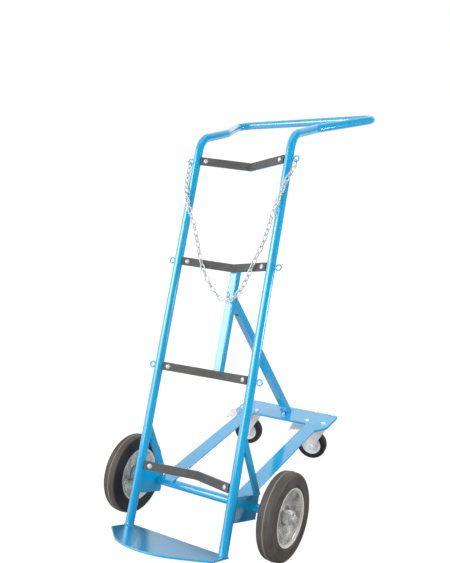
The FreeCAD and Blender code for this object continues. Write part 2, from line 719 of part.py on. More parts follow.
bar_front_y = -size("bar_nose")
bar_rear_y = size("plate_front - seat_gap")
bar_front_z = AXLE_Z + size("axle_tube_od / 2")
bar_rear_z = size("plate_top - bar_thick")
bar_run = bar_rear_y
bar_slope = math.atan2(bar_rear_z - bar_front_z, bar_run)
bar_contact = Vector(0, AXLE_Y, bar_front_z + size("seat_gap"))
for side, sign in SIDES:
    bar = box(f"rear_bar_{side}", "bar_width", "1", "bar_thick")
    bar.setExpression("Width", None)
    bar.Width = (bar_rear_y - bar_front_y) / math.cos(bar_slope)
    corner = Vector(sign * size("bar_offset") - size("bar_width / 2"), AXLE_Y, bar_contact.z)
    tilt = Rotation(Vector(1, 0, 0), math.degrees(bar_slope))
    nose = Placement(Vector(0, bar_front_y / math.cos(bar_slope), 0), Rotation())
    name_part(bar, f"rear_bar_{side}", Placement(corner, tilt) * nose)

# Axle: a tube through both side plates, a shaft through the tube and both wheels

WHEEL_X = size("wheel_track / 2")
HUB_IN = "wheel_track / 2 - hub_length / 2 - clear_gap"
HUB_OUT = "wheel_track / 2 + hub_length / 2 + clear_gap"
AXLE_TUBE_HALF = f"({HUB_IN} - washer_thick)"
ALONG_X = Vector(1, 0, 0)
axle_start = Vector(-size(AXLE_TUBE_HALF), AXLE_Y, AXLE_Z)
axle_tube = pipe(
    "axle_tube", "axle_tube_od", "axle_dia + 2 * run_gap", f"2 * {AXLE_TUBE_HALF}", axle_start, ALONG_X
)
name_part(axle_tube, "axle_tube")
AXLE_HALF = f"({HUB_OUT} + washer_thick + axle_end)"
shaft_start = Vector(-size(AXLE_HALF), AXLE_Y, AXLE_Z)
shaft = rod("axle_shaft_bar", "axle_dia", f"2 * {AXLE_HALF}", shaft_start, ALONG_X)
PIN_X = size(f"{HUB_OUT} + washer_thick + axle_pin / 2 + 0.5")
pin_holes = [
    rod(
        f"pin_hole_{side}",
        "axle_pin + 2 * run_gap",
        "2 * axle_dia",
        Vector(sign * PIN_X, AXLE_Y, AXLE_Z - size("axle_dia")),
    )
    for side, sign in SIDES
]
name_part(cut("axle_shaft", shaft, *pin_holes), "axle_shaft")
washer = pipe("washer_template", "washer_od", "axle_dia + 2 * run_gap", "washer_thick", Vector(), ALONG_X)
washer_starts = [size(f"{HUB_IN} - washer_thick"), size(HUB_OUT)]
washer_places = []
for start in washer_starts:
    washer_places.append(Placement(Vector(start, AXLE_Y, AXLE_Z), Rotation()))
    washer_places.append(Placement(Vector(-start - size("washer_thick"), AXLE_Y, AXLE_Z), Rotation()))
group("axle_washers", washer, washer_places)
split_pin = rod("split_pin_template", "axle_pin", "axle_dia + 10", Vector(0, 0, -size("axle_dia / 2 + 5")))
group(
    "axle_pins",
    split_pin,
    [Placement(Vector(sign * PIN_X, AXLE_Y, AXLE_Z), Rotation()) for side, sign in SIDES],
)

# Axle side plates: flat plates welded behind the uprights, with the axle tube through them

PLATE_OUT = size("axle_plate_out")
for side, sign in SIDES:
    upright_foot = Vector(-sign * PLATE_OUT, 0, 0)
    blank = padded(
        f"axle_plate_{side}_sheet",
        [
            ("0", "axle_up - axle_plate_height / 2"),
            ("axle_back + axle_plate_tail", "axle_up - axle_plate_height / 2"),
            ("axle_back + axle_plate_tail", "axle_up + axle_plate_height / 2"),
            ("0", "axle_up + axle_plate_height / 2"),
        ],
        "axle_plate_thick",
        role="YZ_Plane",
    )
    hole = rod(
        f"axle_plate_hole_{side}",
        "axle_tube_od + 2 * seat_gap",
        "4 * axle_plate_thick",
        Vector(-size("2 * axle_plate_thick"), size("axle_back"), size("axle_up")),
        ALONG_X,
    )
    cope = rod(f"axle_plate_cope_{side}", "tube_od + 2 * seat_gap", "neck_height", upright_foot)
    trim = cut(f"axle_plate_{side}", blank, hole, cope)
    name_part(trim, f"axle_plate_{side}", lean_place(sign * (SPACING / 2 + PLATE_OUT)))

# Braces: bars from the back of each upright down to the tail of its side plate

plate_upper = size("axle_up + axle_plate_height / 2")
brace_top = Vector(0, 0, size("brace_height"))
brace_base = Vector(0, size("axle_back + brace_foot"), plate_upper)
brace_run = brace_base - brace_top
brace_tilt = math.degrees(math.atan2(brace_run.y, -brace_run.z))
for side, sign in SIDES:
    brace = box(f"brace_{side}_bar", "brace_wide", "brace_depth", "1")
    brace.setExpression("Height", None)
    brace.Height = brace_run.Length + 2 * LONG
    brace_turn = Rotation(Vector(1, 0, 0), 180 + brace_tilt)
    brace.Placement = Placement(brace_top, brace_turn) * Placement(
        Vector(-size("brace_wide / 2"), -size("brace_depth / 2"), -LONG), Rotation()
    )
    cope = rod(
        f"brace_cope_{side}", "tube_od + 2 * seat_gap", "neck_height", Vector(-sign * PLATE_OUT, 0, 0)
    )
    # One block takes what is ahead of the upright's middle, the other what is below the side plate's top.
    front = doc.addObject("Part::Box", f"brace_front_cut_{side}")
    lower = doc.addObject("Part::Box", f"brace_lower_cut_{side}")
    block_side = brace_top.z + brace.Height.Value
    for block in (front, lower):
        block.Length = block.Width = block.Height = block_side
    front.Placement = Placement(Vector(-block_side / 2, -block_side, 0), Rotation())
    lower.Placement = Placement(Vector(-block_side / 2, 0, plate_upper - block_side), Rotation())
    trimmed = cut(f"brace_{side}", brace, cope, front, lower)
    name_part(trimmed, f"brace_{side}", lean_place(sign * (SPACING / 2 + PLATE_OUT)))

# Main wheels: solid rubber tyre on a split pressed rim, with a plain hub

half_tyre = "tyre_width / 2"
half_tread = "tyre_tread / 2"
tyre_seat = "rim_dia / 2"
bead = "(rim_width / 2 - rim_sheet - seat_gap)"
tyre_outer = "wheel_dia / 2"
lip_top = f"({tyre_seat} + rim_lip + seat_gap)"
tyre_section = [
    (f"-{bead}", tyre_seat),
    (bead, tyre_seat),
    (bead, lip_top),
    (half_tyre, f"{lip_top} + 8"),
    (half_tyre, f"{tyre_outer} - tyre_shoulder"),
    (half_tread, tyre_outer),
    (f"-{half_tread}", tyre_outer),
    (f"-{half_tyre}", f"{tyre_outer} - tyre_shoulder"),
    (f"-{half_tyre}", f"{lip_top} + 8"),
    (f"-{bead}", lip_top),
]
seat = f"({tyre_seat} - seat_gap)"
rim_edge = "rim_width / 2"
rim_bore = "hub_dia / 2 + seat_gap"
rim_half_section = [
    ("seat_gap", rim_bore),
    ("seat_gap", "rim_web / 2"),
    (f"{rim_edge} - 4 * rim_sheet", f"{seat} - 2 * rim_sheet"),
    (f"{rim_edge} - 4 * rim_sheet", seat),
    (f"{rim_edge} - rim_sheet", seat),
    (f"{rim_edge} - rim_sheet", f"{seat} + rim_lip"),
    (rim_edge, f"{seat} + rim_lip"),
    (rim_edge, f"{seat} - rim_sheet"),
    (f"{rim_edge} - 2.6 * rim_sheet", f"{seat} - 2.4 * rim_sheet"),
    ("seat_gap + rim_sheet", "rim_web / 2 - 0.6 * rim_sheet"),
    ("seat_gap + rim_sheet", rim_bore),
]
hub_section = [
    ("-hub_length / 2", "axle_dia / 2 + run_gap"),
    ("hub_length / 2", "axle_dia / 2 + run_gap"),
    ("hub_length / 2", "hub_dia / 2"),
    ("-hub_length / 2", "hub_dia / 2"),
]


def at_tread(edge):
    """A circle at one of the tyre's four outer corners."""
    return edge.BoundBox.ZLength > size(f"2 * ({tyre_outer} - tyre_shoulder)") - 1e-3


TURN_ROUND = Rotation(Vector(0, 0, 1), 180)
for side, sign in SIDES:
    wheel_place = Placement(Vector(sign * WHEEL_X, AXLE_Y, AXLE_Z), Rotation())
    turned_place = Placement(wheel_place.Base, TURN_ROUND)
    outward, inward = (wheel_place, turned_place) if sign > 0 else (turned_place, wheel_place)
    tyre = revolved(f"wheel_{side}_tyre", tyre_section)
    round_edges(tyre, at_tread, "tyre_round")
    name_part(tyre, f"wheel_{side}_tyre", wheel_place)
    name_part(revolved(f"wheel_{side}_rim_out", rim_half_section), f"wheel_{side}_rim_outer", outward)
    name_part(revolved(f"wheel_{side}_rim_in", rim_half_section), f"wheel_{side}_rim_inner", inward)
    name_part(revolved(f"wheel_{side}_hub", hub_section), f"wheel_{side}_hub", wheel_place)

# Castors, in a frame of their own: swivel axis up the Z axis, wheel trailing along +X, axle along Y

TOP_UNDER = size("plate_top - plate_thick - top_thick")
RACE_UNDER = TOP_UNDER - size("race_thick")
CROWN_TOP = RACE_UNDER - size("clear_gap")
CROWN_UNDER = CROWN_TOP - size("fork_crown_thick")
TRAIL = size("castor_trail")
CASTOR_RADIUS = size("castor_dia / 2")
FORK_OUT = "fork_inside / 2 + fork_sheet"

castor_half = "castor_width / 2"
castor_tyre_section = [
    (f"-{castor_half}", "castor_rim / 2"),
    (castor_half, "castor_rim / 2"),
    (castor_half, "castor_dia / 2"),
    (f"-{castor_half}", "castor_dia / 2"),
]
rim_side = "(castor_width / 2 - 2)"
castor_seat = "(castor_rim / 2 - seat_gap)"
castor_hub_half = "(fork_inside / 2 - clear_gap)"
castor_bore = "castor_axle / 2 + run_gap"
castor_wheel_section = [
    (f"-{castor_hub_half}", castor_bore),
    (castor_hub_half, castor_bore),
    (castor_hub_half, "castor_hub / 2"),
    ("8", "castor_hub / 2 + 2"),
    ("8", f"{castor_seat} - 7"),
    (rim_side, f"{castor_seat} - 3"),
    (rim_side, castor_seat),
    (f"-{rim_side}", castor_seat),
    (f"-{rim_side}", f"{castor_seat} - 3"),
    ("-8", f"{castor_seat} - 7"),
    ("-8", "castor_hub / 2 + 2"),
    (f"-{castor_hub_half}", "castor_hub / 2"),
]


def at_castor_tread(edge):
    return edge.BoundBox.ZLength > size("castor_dia") - 1e-3


def castor_fork(side):
    """Pressed fork: a crown plate and two legs that sweep back to the axle and up to the pedal."""
    eye_radius = "fork_eye"
    leg_corners = [
        ("-race_dia / 2 + 4", str(CROWN_TOP)),
        ("-race_dia / 2 + 4", str(CROWN_UNDER - 8)),
        (f"castor_trail - {eye_radius}", "castor_dia / 2 + 6"),
        (f"castor_trail - {eye_radius}", "castor_dia / 2 - 8"),
        ("castor_trail - 6", f"castor_dia / 2 - {eye_radius}"),
        ("castor_trail + 6", f"castor_dia / 2 - {eye_radius}"),
        (f"castor_trail + {eye_radius}", "castor_dia / 2 - 8"),
        (f"castor_trail + {eye_radius}", "castor_dia / 2 + 6"),
        ("pedal_back + 8", "pedal_up - 8"),
        ("pedal_back + 8", "pedal_up + 7"),
        ("pedal_back - 12", str(CROWN_TOP)),
    ]
    legs = []
    for leg, edge in (("near", "-(fork_inside / 2 + fork_sheet)"), ("far", "fork_inside / 2")):
        plate = padded(f"fork_{side}_{leg}", leg_corners, "fork_sheet", role="XZ_Plane")
        plate.Placement = Placement(Vector(0, size(f"{edge} + fork_sheet / 2"), 0), Rotation())
        legs.append(plate)
    crown = box(
        f"fork_{side}_crown",
        "race_dia / 2 - 4 + pedal_back - 14",
        "fork_inside",
        "fork_crown_thick",
        "4 - race_dia / 2",
        "-fork_inside / 2",
    )
    crown.Placement = Placement(crown.Placement.Base + Vector(0, 0, CROWN_UNDER), Rotation())
    blank = join(f"fork_{side}_blank", crown, *legs)
    across = Vector(0, 1, 0)
    start_y = -size(f"2 * ({FORK_OUT})")
    width = f"4 * ({FORK_OUT})"
    bores = [
        rod(f"fork_{side}_king", "king_dia + 2 * run_gap", "race_dia", Vector(0, 0, CROWN_UNDER - 10)),
        rod(f"fork_{side}_axle", "castor_axle + 2 * run_gap", width, Vector(TRAIL, start_y, CASTOR_RADIUS), across),
        rod(
            f"fork_{side}_pin",
            "pedal_pin + 2 * run_gap",
            width,
            Vector(size("pedal_back"), start_y, size("pedal_up")),
            across,
        ),
    ]
    return cut(f"fork_{side}", blank, *bores)


def cross_bolt(name, diameter, x, z, head, head_thick):
    """A bolt through both fork legs, with a hexagon at each end."""
    across = Vector(0, 1, 0)
    reach = size(FORK_OUT)
    shank = rod(f"{name}_shank", diameter, f"2 * ({FORK_OUT} + {head_thick})", Vector(x, 0, z), across)
    shank.Placement = Placement(Vector(x, -reach - size(head_thick), z), shank.Placement.Rotation)
    ends = [
        hexagon(f"{name}_{end}", head, head_thick, Vector(x, y, z), across)
        for end, y in (("head", -reach - size(head_thick)), ("nut", reach))
    ]
    return join(name, shank, *ends)


def brake_pedal(side):
    """Pedal: a barrel on the pivot pin, a shoe over the tyre, an arm and a wide tread outside."""
    across = Vector(0, 1, 0)
    x = size("pedal_back")
    z = size("pedal_up")
    half = size("pedal_inside / 2")
    barrel = rod(f"pedal_{side}_barrel", "pedal_barrel", "pedal_inside", Vector(x, -half, z), across)
    arm = box(
        f"pedal_{side}_arm",
        "pedal_reach",
        "pedal_inside",
        "pedal_thick",
        "pedal_back",
        "-pedal_inside / 2",
        "pedal_up + pedal_barrel / 2 - pedal_thick",
    )
    tread = box(
        f"pedal_{side}_tread",
        "pedal_reach - 14",
        "pedal_tread",
        "pedal_thick",
        "pedal_back + 14",
        "-pedal_tread / 2",
        "pedal_up + pedal_barrel / 2 - pedal_thick",
    )
    toe = box(
        f"pedal_{side}_toe",
        "pedal_thick",
        "pedal_tread",
        "3 * pedal_thick",
        "pedal_back + pedal_reach",
        "-pedal_tread / 2",
        "pedal_up + pedal_barrel / 2 - 3 * pedal_thick",
    )
    shoe = box(f"pedal_{side}_shoe", "shoe_thick", "shoe_width", "shoe_length")
    shoe.Placement = Placement(Vector(x, 0, z), Rotation(across, 180 - size("shoe_angle"))) * Placement(
        Vector(-size("shoe_thick / 2"), -size("shoe_width / 2"), 0), Rotation()
    )
    whole = join(f"pedal_{side}_whole", barrel, arm, tread, toe, shoe)
    bore = rod(
        f"pedal_{side}_bore", "pedal_pin + 2 * run_gap", "2 * pedal_inside", Vector(x, -2 * half, z), across
    )
    return cut(f"pedal_{side}", whole, bore)


AXLE_TO_Y = Rotation(Vector(0, 0, 1), 90)
for side, sign in SIDES:
    swivel = Vector(sign * size("castor_offset"), AXLE_Y + size("castor_back"), 0)
    fixed_place = Placement(swivel, Rotation())
    turned_place = Placement(swivel, Rotation(Vector(0, 0, 1), 180 + size("castor_angle")))

    top = box(f"castor_{side}_top", "top_width", "top_length", "top_thick", "-top_width / 2", "-top_length / 2")
    top.Placement = Placement(top.Placement.Base + Vector(0, 0, TOP_UNDER), Rotation())
    race = rod(f"castor_{side}_race", "race_dia", "race_thick", Vector(0, 0, RACE_UNDER))
    top_blank = join(f"castor_{side}_top_blank", top, race)
    top_holes = []
    for number, (across, along) in enumerate(((-1, -1), (-1, 1), (1, -1), (1, 1))):
        spot = Vector(across * size("bolt_pitch_wide / 2"), along * size("bolt_pitch_long / 2"), TOP_UNDER)
        top_holes.append(rod(f"castor_{side}_hole_{number}", "bolt_dia + 2 * run_gap", "top_thick", spot))
    king_hole = rod(f"castor_{side}_king_hole", "king_dia + 2 * seat_gap", "top_length", Vector(0, 0, RACE_UNDER))
    top_plate = cut(f"castor_{side}_top_plate", top_blank, *top_holes, king_hole)
    name_part(top_plate, f"castor_{side}_top_plate", fixed_place)

    king_under = CROWN_UNDER - size("clear_gap")
    king_shank = rod(f"castor_{side}_king_shank", "king_dia", "1", Vector(0, 0, king_under))
    king_shank.setExpression("Height", None)
    king_shank.Height = TOP_UNDER + size("top_thick") - king_under
    king_cap = rod(
        f"castor_{side}_king_cap",
        "king_head",
        "king_head_thick",
        Vector(0, 0, king_under - size("king_head_thick")),
    )
    king_pin = join(f"castor_{side}_king", king_shank, king_cap)
    name_part(king_pin, f"castor_{side}_king_pin", fixed_place)

    name_part(castor_fork(side), f"castor_{side}_fork", turned_place)
    axle_bolt = cross_bolt(
        f"castor_{side}_bolt", "castor_axle", TRAIL, CASTOR_RADIUS, "castor_nut", "castor_nut_thick"
    )
    name_part(axle_bolt, f"castor_{side}_axle_bolt", turned_place)
    pedal_pin = cross_bolt(
        f"castor_{side}_pin", "pedal_pin", size("pedal_back"), size("pedal_up"), "pedal_barrel", "fork_sheet"
    )
    name_part(pedal_pin, f"castor_{side}_pedal_pin", turned_place)
    name_part(brake_pedal(side), f"castor_{side}_brake_pedal", turned_place)

    wheel_local = Placement(Vector(TRAIL, 0, CASTOR_RADIUS), AXLE_TO_Y)
    castor_tyre = revolved(f"castor_{side}_tyre", castor_tyre_section)
    round_edges(castor_tyre, at_castor_tread, "castor_round")
    name_part(castor_tyre, f"castor_{side}_tyre", turned_place * wheel_local)
    castor_rim = revolved(f"castor_{side}_rim", castor_wheel_section)
    name_part(castor_rim, f"castor_{side}_rim", turned_place * wheel_local)

# Castor bolts: hexagon heads on the castor plate, nuts under the castors' own plates

CLAMPED = "plate_thick + top_thick"
bolt_head = hexagon("castor_bolt_head", "bolt_head", "bolt_head_thick")
bolt_shank = rod(
    "castor_bolt_shank",
    "bolt_dia",
    f"{CLAMPED} + 2 * bolt_head_thick + 2",
    Vector(0, 0, -size(f"{CLAMPED} + bolt_head_thick + 2")),
)
castor_bolt = join("castor_bolt_template", bolt_head, bolt_shank)
bolt_nut_body = hexagon("castor_nut_body", "bolt_head", "bolt_head_thick")
bolt_nut_bore = rod("castor_nut_bore", "bolt_dia + 2 * run_gap", "bolt_head_thick")
castor_nut = cut("castor_nut_template", bolt_nut_body, bolt_nut_bore)
head_places = [Placement(spot + Vector(0, AXLE_Y, size("plate_top")), Rotation()) for spot in castor_bolt_spots]
nut_places = [
    Placement(spot + Vector(0, AXLE_Y, TOP_UNDER - size("bolt_head_thick")), Rotation())
    for spot in castor_bolt_spots
]
group("castor_bolts", castor_bolt, head_places)
group("castor_nuts", castor_nut, nut_places)

# Safety chain: interlocked links that hang from the two top eyes across the front

LINK_RADIUS = size("(link_width + link_wire) / 2")
LINK_STRAIGHT = size("link_length - link_width")
bow_template = doc.addObject("Part::Torus", "link_bow_far")
bow_mirror = doc.addObject("Part::Torus", "link_bow_near")
for bow, spin, x in ((bow_template, -90, LINK_STRAIGHT / 2), (bow_mirror, 90, -LINK_STRAIGHT / 2)):
    bind(bow, Radius1="(link_width + link_wire) / 2", Radius2="link_wire / 2")
    bow.Angle3 = 180
    bow.Placement = Placement(Vector(x, 0, 0), Rotation(Vector(0, 0, 1), spin))
sides = [
    rod(
        f"link_side_{name}",
        "link_wire",
        "link_length - link_width",
        Vector(-LINK_STRAIGHT / 2, y, 0),
        ALONG_X,
    )
    for name, y in (("upper", LINK_RADIUS), ("lower", -LINK_RADIUS))
]
link = join("chain_link_template", bow_template, bow_mirror, *sides)

# The chain's route in the leaning frame: it leaves the left top eye, crosses in front of that
# upright, lies across the second band's rubber, sags below it and climbs to the right top eye.
EYE_WIRE_T = size("band_top") - EYE_RADIUS
EYE_REST = size("link_length / 2 - link_slack - eye_wire / 2")
PITCH = size("link_length - link_slack")
ROUTE_END = EYE_WIRE_T + PITCH / 2 - EYE_REST
# Each row is a share of the eyes' offset across, of the tube's diameter forwards, and of the drop
# from the highest band to the second.
ROUTE_SHARES = [
    (-1.0000, 0.1115, 0.0543),
    (-0.9641, 0.4461, 0.1668),
    (-0.8855, 0.8550, 0.3177),
    (-0.7755, 0.9294, 0.4535),
    (-0.6392, 0.7435, 0.6135),
    (-0.5554, 0.3717, 0.7554),
    (-0.4611, -0.2230, 0.9455),
    (-0.2987, -0.7063, 1.1327),
    (-0.0838, -1.0781, 1.2655),
    (0.0629, -1.1896, 1.3047),
    (0.2096, -1.0781, 1.2715),
    (0.3458, -0.8178, 1.1810),
    (0.4611, -0.4461, 1.0663),
    (0.5554, -0.0743, 0.9334),
    (0.6707, 0.2974, 0.7946),
    (0.7650, 0.6691, 0.6346),
    (0.8384, 0.9294, 0.4535),
    (0.9065, 0.9665, 0.3177),
    (0.9536, 0.5948, 0.1668),
    (1.0000, 0.1115, 0.0543),
]
BAND_FALL = size("band_pitch_high")
chain_route = [(-EYE_OFFSET, 0, ROUTE_END)]
for across, ahead, fall in ROUTE_SHARES:
    chain_route.append((across * EYE_OFFSET, -ahead * 2 * TUBE_RADIUS, EYE_WIRE_T - fall * BAND_FALL))
chain_route.append((EYE_OFFSET, 0, ROUTE_END))
route = Part.BSplineCurve()
route.interpolate([Vector(*point) for point in chain_route])
route_edge = route.toShape()
# An odd count, so that the first and last links both stand square to the eyes' wire.
link_count = 2 * int(route_edge.Length / PITCH / 2) + 1
joints = route_edge.discretize(Number=link_count + 1)
FORWARDS = Vector(0, -1, 0)
link_places = []
for number, (near, far) in enumerate(zip(joints, joints[1:])):
    along = (far - near).normalize()
    upward = along.cross(FORWARDS).normalize()
    forward = upward.cross(along).normalize()
    width = forward if number % 2 == 0 else upward
    turn = Rotation(along, width, along.cross(width), "XYZ")
    link_places.append(lean_frame * Placement((near + far) / 2, turn))
print("chain links", link_count, "length", round(route_edge.Length, 1), "pitch", route_edge.Length / link_count)
group("chain_links", link, link_places)

# Checks, then one file for each sub-part

doc.recompute()
for feature in doc.Objects:
    if "Invalid" in feature.State or "Error" in feature.State:
        raise RuntimeError(f"{feature.Name} failed: {feature.State}")
for label, feature in subparts.items():
    if feature.Shape.isNull() or not feature.Shape.isValid() or feature.Shape.Volume <= 0:
        raise RuntimeError(f"{label} has no valid solid")
    if len(feature.Shape.Solids) < 1:
        raise RuntimeError(f"{label} holds no solid")

os.makedirs("parts", exist_ok=True)
for label, feature in subparts.items():
    feature.Shape.exportStep(f"parts/{label}.step")
print(len(subparts), "sub-parts")
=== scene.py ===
# %% [markdown]
# # A gas cylinder cart in sky-blue powder coat
#
# The cart is a leaning ladder of round tube that carries a tall cylinder. Its solids come from a
# CAD model, which is loaded here as a fixed frame. This lesson gives that frame its looks: soft
# edges, paint, zinc and rubber, and the details that a solid model leaves out, such as welds,
# moulded tyres and round chain wire. Everything is in metres, with the floor at Z = 0.

# %% Load the frame
import json
import math
from collections import namedtuple
from itertools import count, pairwise

import bmesh
import bpy
import numpy as np
from mathutils import Matrix, Vector


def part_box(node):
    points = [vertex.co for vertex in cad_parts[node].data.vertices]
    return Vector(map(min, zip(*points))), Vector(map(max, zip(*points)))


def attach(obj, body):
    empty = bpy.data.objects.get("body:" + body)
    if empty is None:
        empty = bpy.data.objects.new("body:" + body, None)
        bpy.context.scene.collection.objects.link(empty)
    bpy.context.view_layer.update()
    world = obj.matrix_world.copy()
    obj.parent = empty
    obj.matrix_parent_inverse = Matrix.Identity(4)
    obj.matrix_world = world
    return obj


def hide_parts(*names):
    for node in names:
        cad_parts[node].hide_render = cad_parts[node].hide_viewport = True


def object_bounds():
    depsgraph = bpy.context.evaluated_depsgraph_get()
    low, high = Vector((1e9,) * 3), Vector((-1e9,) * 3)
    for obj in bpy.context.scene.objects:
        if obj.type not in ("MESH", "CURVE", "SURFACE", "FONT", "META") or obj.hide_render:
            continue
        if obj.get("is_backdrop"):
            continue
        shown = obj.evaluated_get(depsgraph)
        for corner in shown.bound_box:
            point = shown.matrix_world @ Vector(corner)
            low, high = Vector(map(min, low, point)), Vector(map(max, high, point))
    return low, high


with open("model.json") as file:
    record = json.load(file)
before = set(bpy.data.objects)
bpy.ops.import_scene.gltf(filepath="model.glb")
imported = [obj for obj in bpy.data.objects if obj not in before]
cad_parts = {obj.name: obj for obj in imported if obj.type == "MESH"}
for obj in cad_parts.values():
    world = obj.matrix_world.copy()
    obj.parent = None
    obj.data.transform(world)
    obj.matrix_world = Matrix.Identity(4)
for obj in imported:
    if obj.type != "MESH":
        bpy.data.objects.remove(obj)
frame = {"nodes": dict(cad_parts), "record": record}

MM = 0.001
nodes = frame["nodes"]
record = frame["record"]
cad_box = [list(corner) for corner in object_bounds()]


def short(values):
    """Numbers cut to four places, for printing."""
    return [round(value, 4) for value in values]


print("CAD box", [short(corner) for corner in cad_box])

# %% [markdown]
# ## Where things are
#
# The uprights lean back, so most of the cart is easiest to describe in a leaning frame: x across,
# n square to the uprights towards the rear, and t up along them from the foot plate. One small
# function turns such a point into the world's coordinates. The axle and the wheels are read from
# the model and the foot is measured from the axle, so the scene follows the model.

# %% The leaning frame
LEAN = math.radians(25.75)
AXLE = (Vector(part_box("axle_shaft")[0]) + Vector(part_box("axle_shaft")[1])) / 2
AXLE_BACK, AXLE_UP = 116.2, 125.5
SIDE_SIGN = {"left": -1, "right": 1}
WHEEL_X = {
    side: sum(corner[0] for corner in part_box(f"wheel_{side}_hub")) / 2 for side in SIDE_SIGN
}


def lean_vector(x, n, t):
    """A direction or an offset of the leaning frame in world coordinates."""
    y = n * math.cos(LEAN) + t * math.sin(LEAN)
    z = t * math.cos(LEAN) - n * math.sin(LEAN)
    return Vector((x, y, z))


FOOT = AXLE - lean_vector(0, AXLE_BACK * MM, AXLE_UP * MM)


def lean_point(x, n, t):
    """A point of the leaning frame, given in millimetres, in world coordinates."""
    return FOOT + lean_vector(x * MM, n * MM, t * MM)


print("foot", short(FOOT), "axle", short(AXLE), "wheels at", short(WHEEL_X.values()))

# %% [markdown]
# ## Camera
#
# The photograph was taken from the cart's front right, a little above its middle, with the camera
# tipped down and turned slightly about its own line of sight. The camera's place and focal length
# were solved from the picture, so they are simply written down here.

# %% Camera at the photograph's place
PICTURE_WIDTH, PICTURE_HEIGHT = 450, 563
FOCAL_PIXELS = 667.0
CENTRE_X, CENTRE_Y = 231.5, 276.4
CAMERA_PLACE = Vector((1.0937, AXLE.y - 1.4551, 1.2255))
yaw, pitch, roll = (math.radians(angle) for angle in (32.87, 13.44, -3.89))

ahead = Vector(
    (-math.sin(yaw) * math.cos(pitch), math.cos(yaw) * math.cos(pitch), -math.sin(pitch))
)
sideways = Vector((math.cos(yaw), math.sin(yaw), 0))
upward = sideways.cross(ahead)
camera_right = sideways * math.cos(roll) + upward * math.sin(roll)
camera_up = upward * math.cos(roll) - sideways * math.sin(roll)

camera_data = bpy.data.cameras.new("camera")
camera_data.sensor_fit = "HORIZONTAL"
camera_data.lens = FOCAL_PIXELS / PICTURE_WIDTH * camera_data.sensor_width
camera_data.shift_x = (PICTURE_WIDTH / 2 - CENTRE_X) / PICTURE_WIDTH
camera_data.shift_y = (CENTRE_Y - PICTURE_HEIGHT / 2) / PICTURE_WIDTH
camera = bpy.data.objects.new("camera", camera_data)
bpy.context.scene.collection.objects.link(camera)
camera_axes = Matrix((camera_right, camera_up, -ahead)).transposed().to_4x4()
camera.matrix_world = Matrix.Translation(CAMERA_PLACE) @ camera_axes
bpy.context.scene.camera = camera
print("lens", round(camera_data.lens, 2), "mm")

# %% [markdown]
# ## World
#
# The photograph is bright and even: a white sweep with big soft lamps. The world gives much of the
# light, and the camera sees it plain white. What paint and metal mirror of it is white behind the
# cart and to its left, dim overhead, and dark towards the front right, where a studio is dark:
# without that, paint looks milky and bright metal has nothing to reflect.
#
# A few small functions make the nodes. An input that is given a number or a colour is set, and an
# input that is given another node's socket is wired to it.

# %% An empty world and the functions for nodes
scene = bpy.context.scene
scene.view_settings.view_transform = "Standard"
world = bpy.data.worlds.new("studio")
scene.world = world
world.use_nodes = True
tree = world.node_tree
tree.nodes.clear()


def set_inputs(tree, node, values):
    """Each named input of a node set to a value, or wired to a socket."""
    for name, value in values.items():
        if isinstance(value, bpy.types.NodeSocket):
            tree.links.new(value, node.inputs[name])
        else:
            node.inputs[name].default_value = value


def add_node(tree, kind, inputs=None, **settings):
    """A node with its settings, such as an operation, and its inputs."""
    node = tree.nodes.new(kind)
    for name, value in settings.items():
        setattr(node, name, value)
    set_inputs(tree, node, inputs or {})
    return node


def map_range(tree, value, before=(0.0, 1.0), after=(0.0, 1.0), smooth=False):
    """A value carried from one range to another and held at its ends."""
    ends = {"From Min": before[0], "From Max": before[1], "To Min": after[0], "To Max": after[1]}
    kind = "SMOOTHSTEP" if smooth else "LINEAR"
    node = add_node(tree, "ShaderNodeMapRange", {"Value": value} | ends, interpolation_type=kind)
    return node.outputs["Result"]


def math_node(tree, operation, *values):
    inputs = dict(enumerate(values))
    return add_node(tree, "ShaderNodeMath", inputs, operation=operation).outputs[0]


def vector_math(tree, operation, *values, output="Vector"):
    inputs = dict(enumerate(values))
    node = add_node(tree, "ShaderNodeVectorMath", inputs, operation=operation)
    return node.outputs[output]


def mix_colour(tree, factor, first, second):
    inputs = {"Factor": factor, "A": first, "B": second}
    return add_node(tree, "ShaderNodeMix", inputs, data_type="RGBA").outputs["Result"]


print("world", world.name, "shown as", scene.view_settings.view_transform)

# %% What the rays see of the world
WHITE = (1, 1, 1, 1)
DIFFUSE_LEVEL = 0.41
DARK_DIRECTION = (0.90, -0.40, -0.15)
DARK_TONE = (0.035, 0.037, 0.04, 1)
WHITE_END, DARK_START = 0.30, 0.58
OVERHEAD_HEIGHTS, OVERHEAD_LEVELS = (0.35, 0.85), (1.0, 0.45)


def seen_rays(tree):
    """Two masks: rays that see a surface at all, and rays that see it mirrored or refracted."""
    path = add_node(tree, "ShaderNodeLightPath").outputs
    mirrored = math_node(tree, "MAXIMUM", path["Is Glossy Ray"], path["Is Transmission Ray"])
    return math_node(tree, "MAXIMUM", mirrored, path["Is Camera Ray"]), mirrored


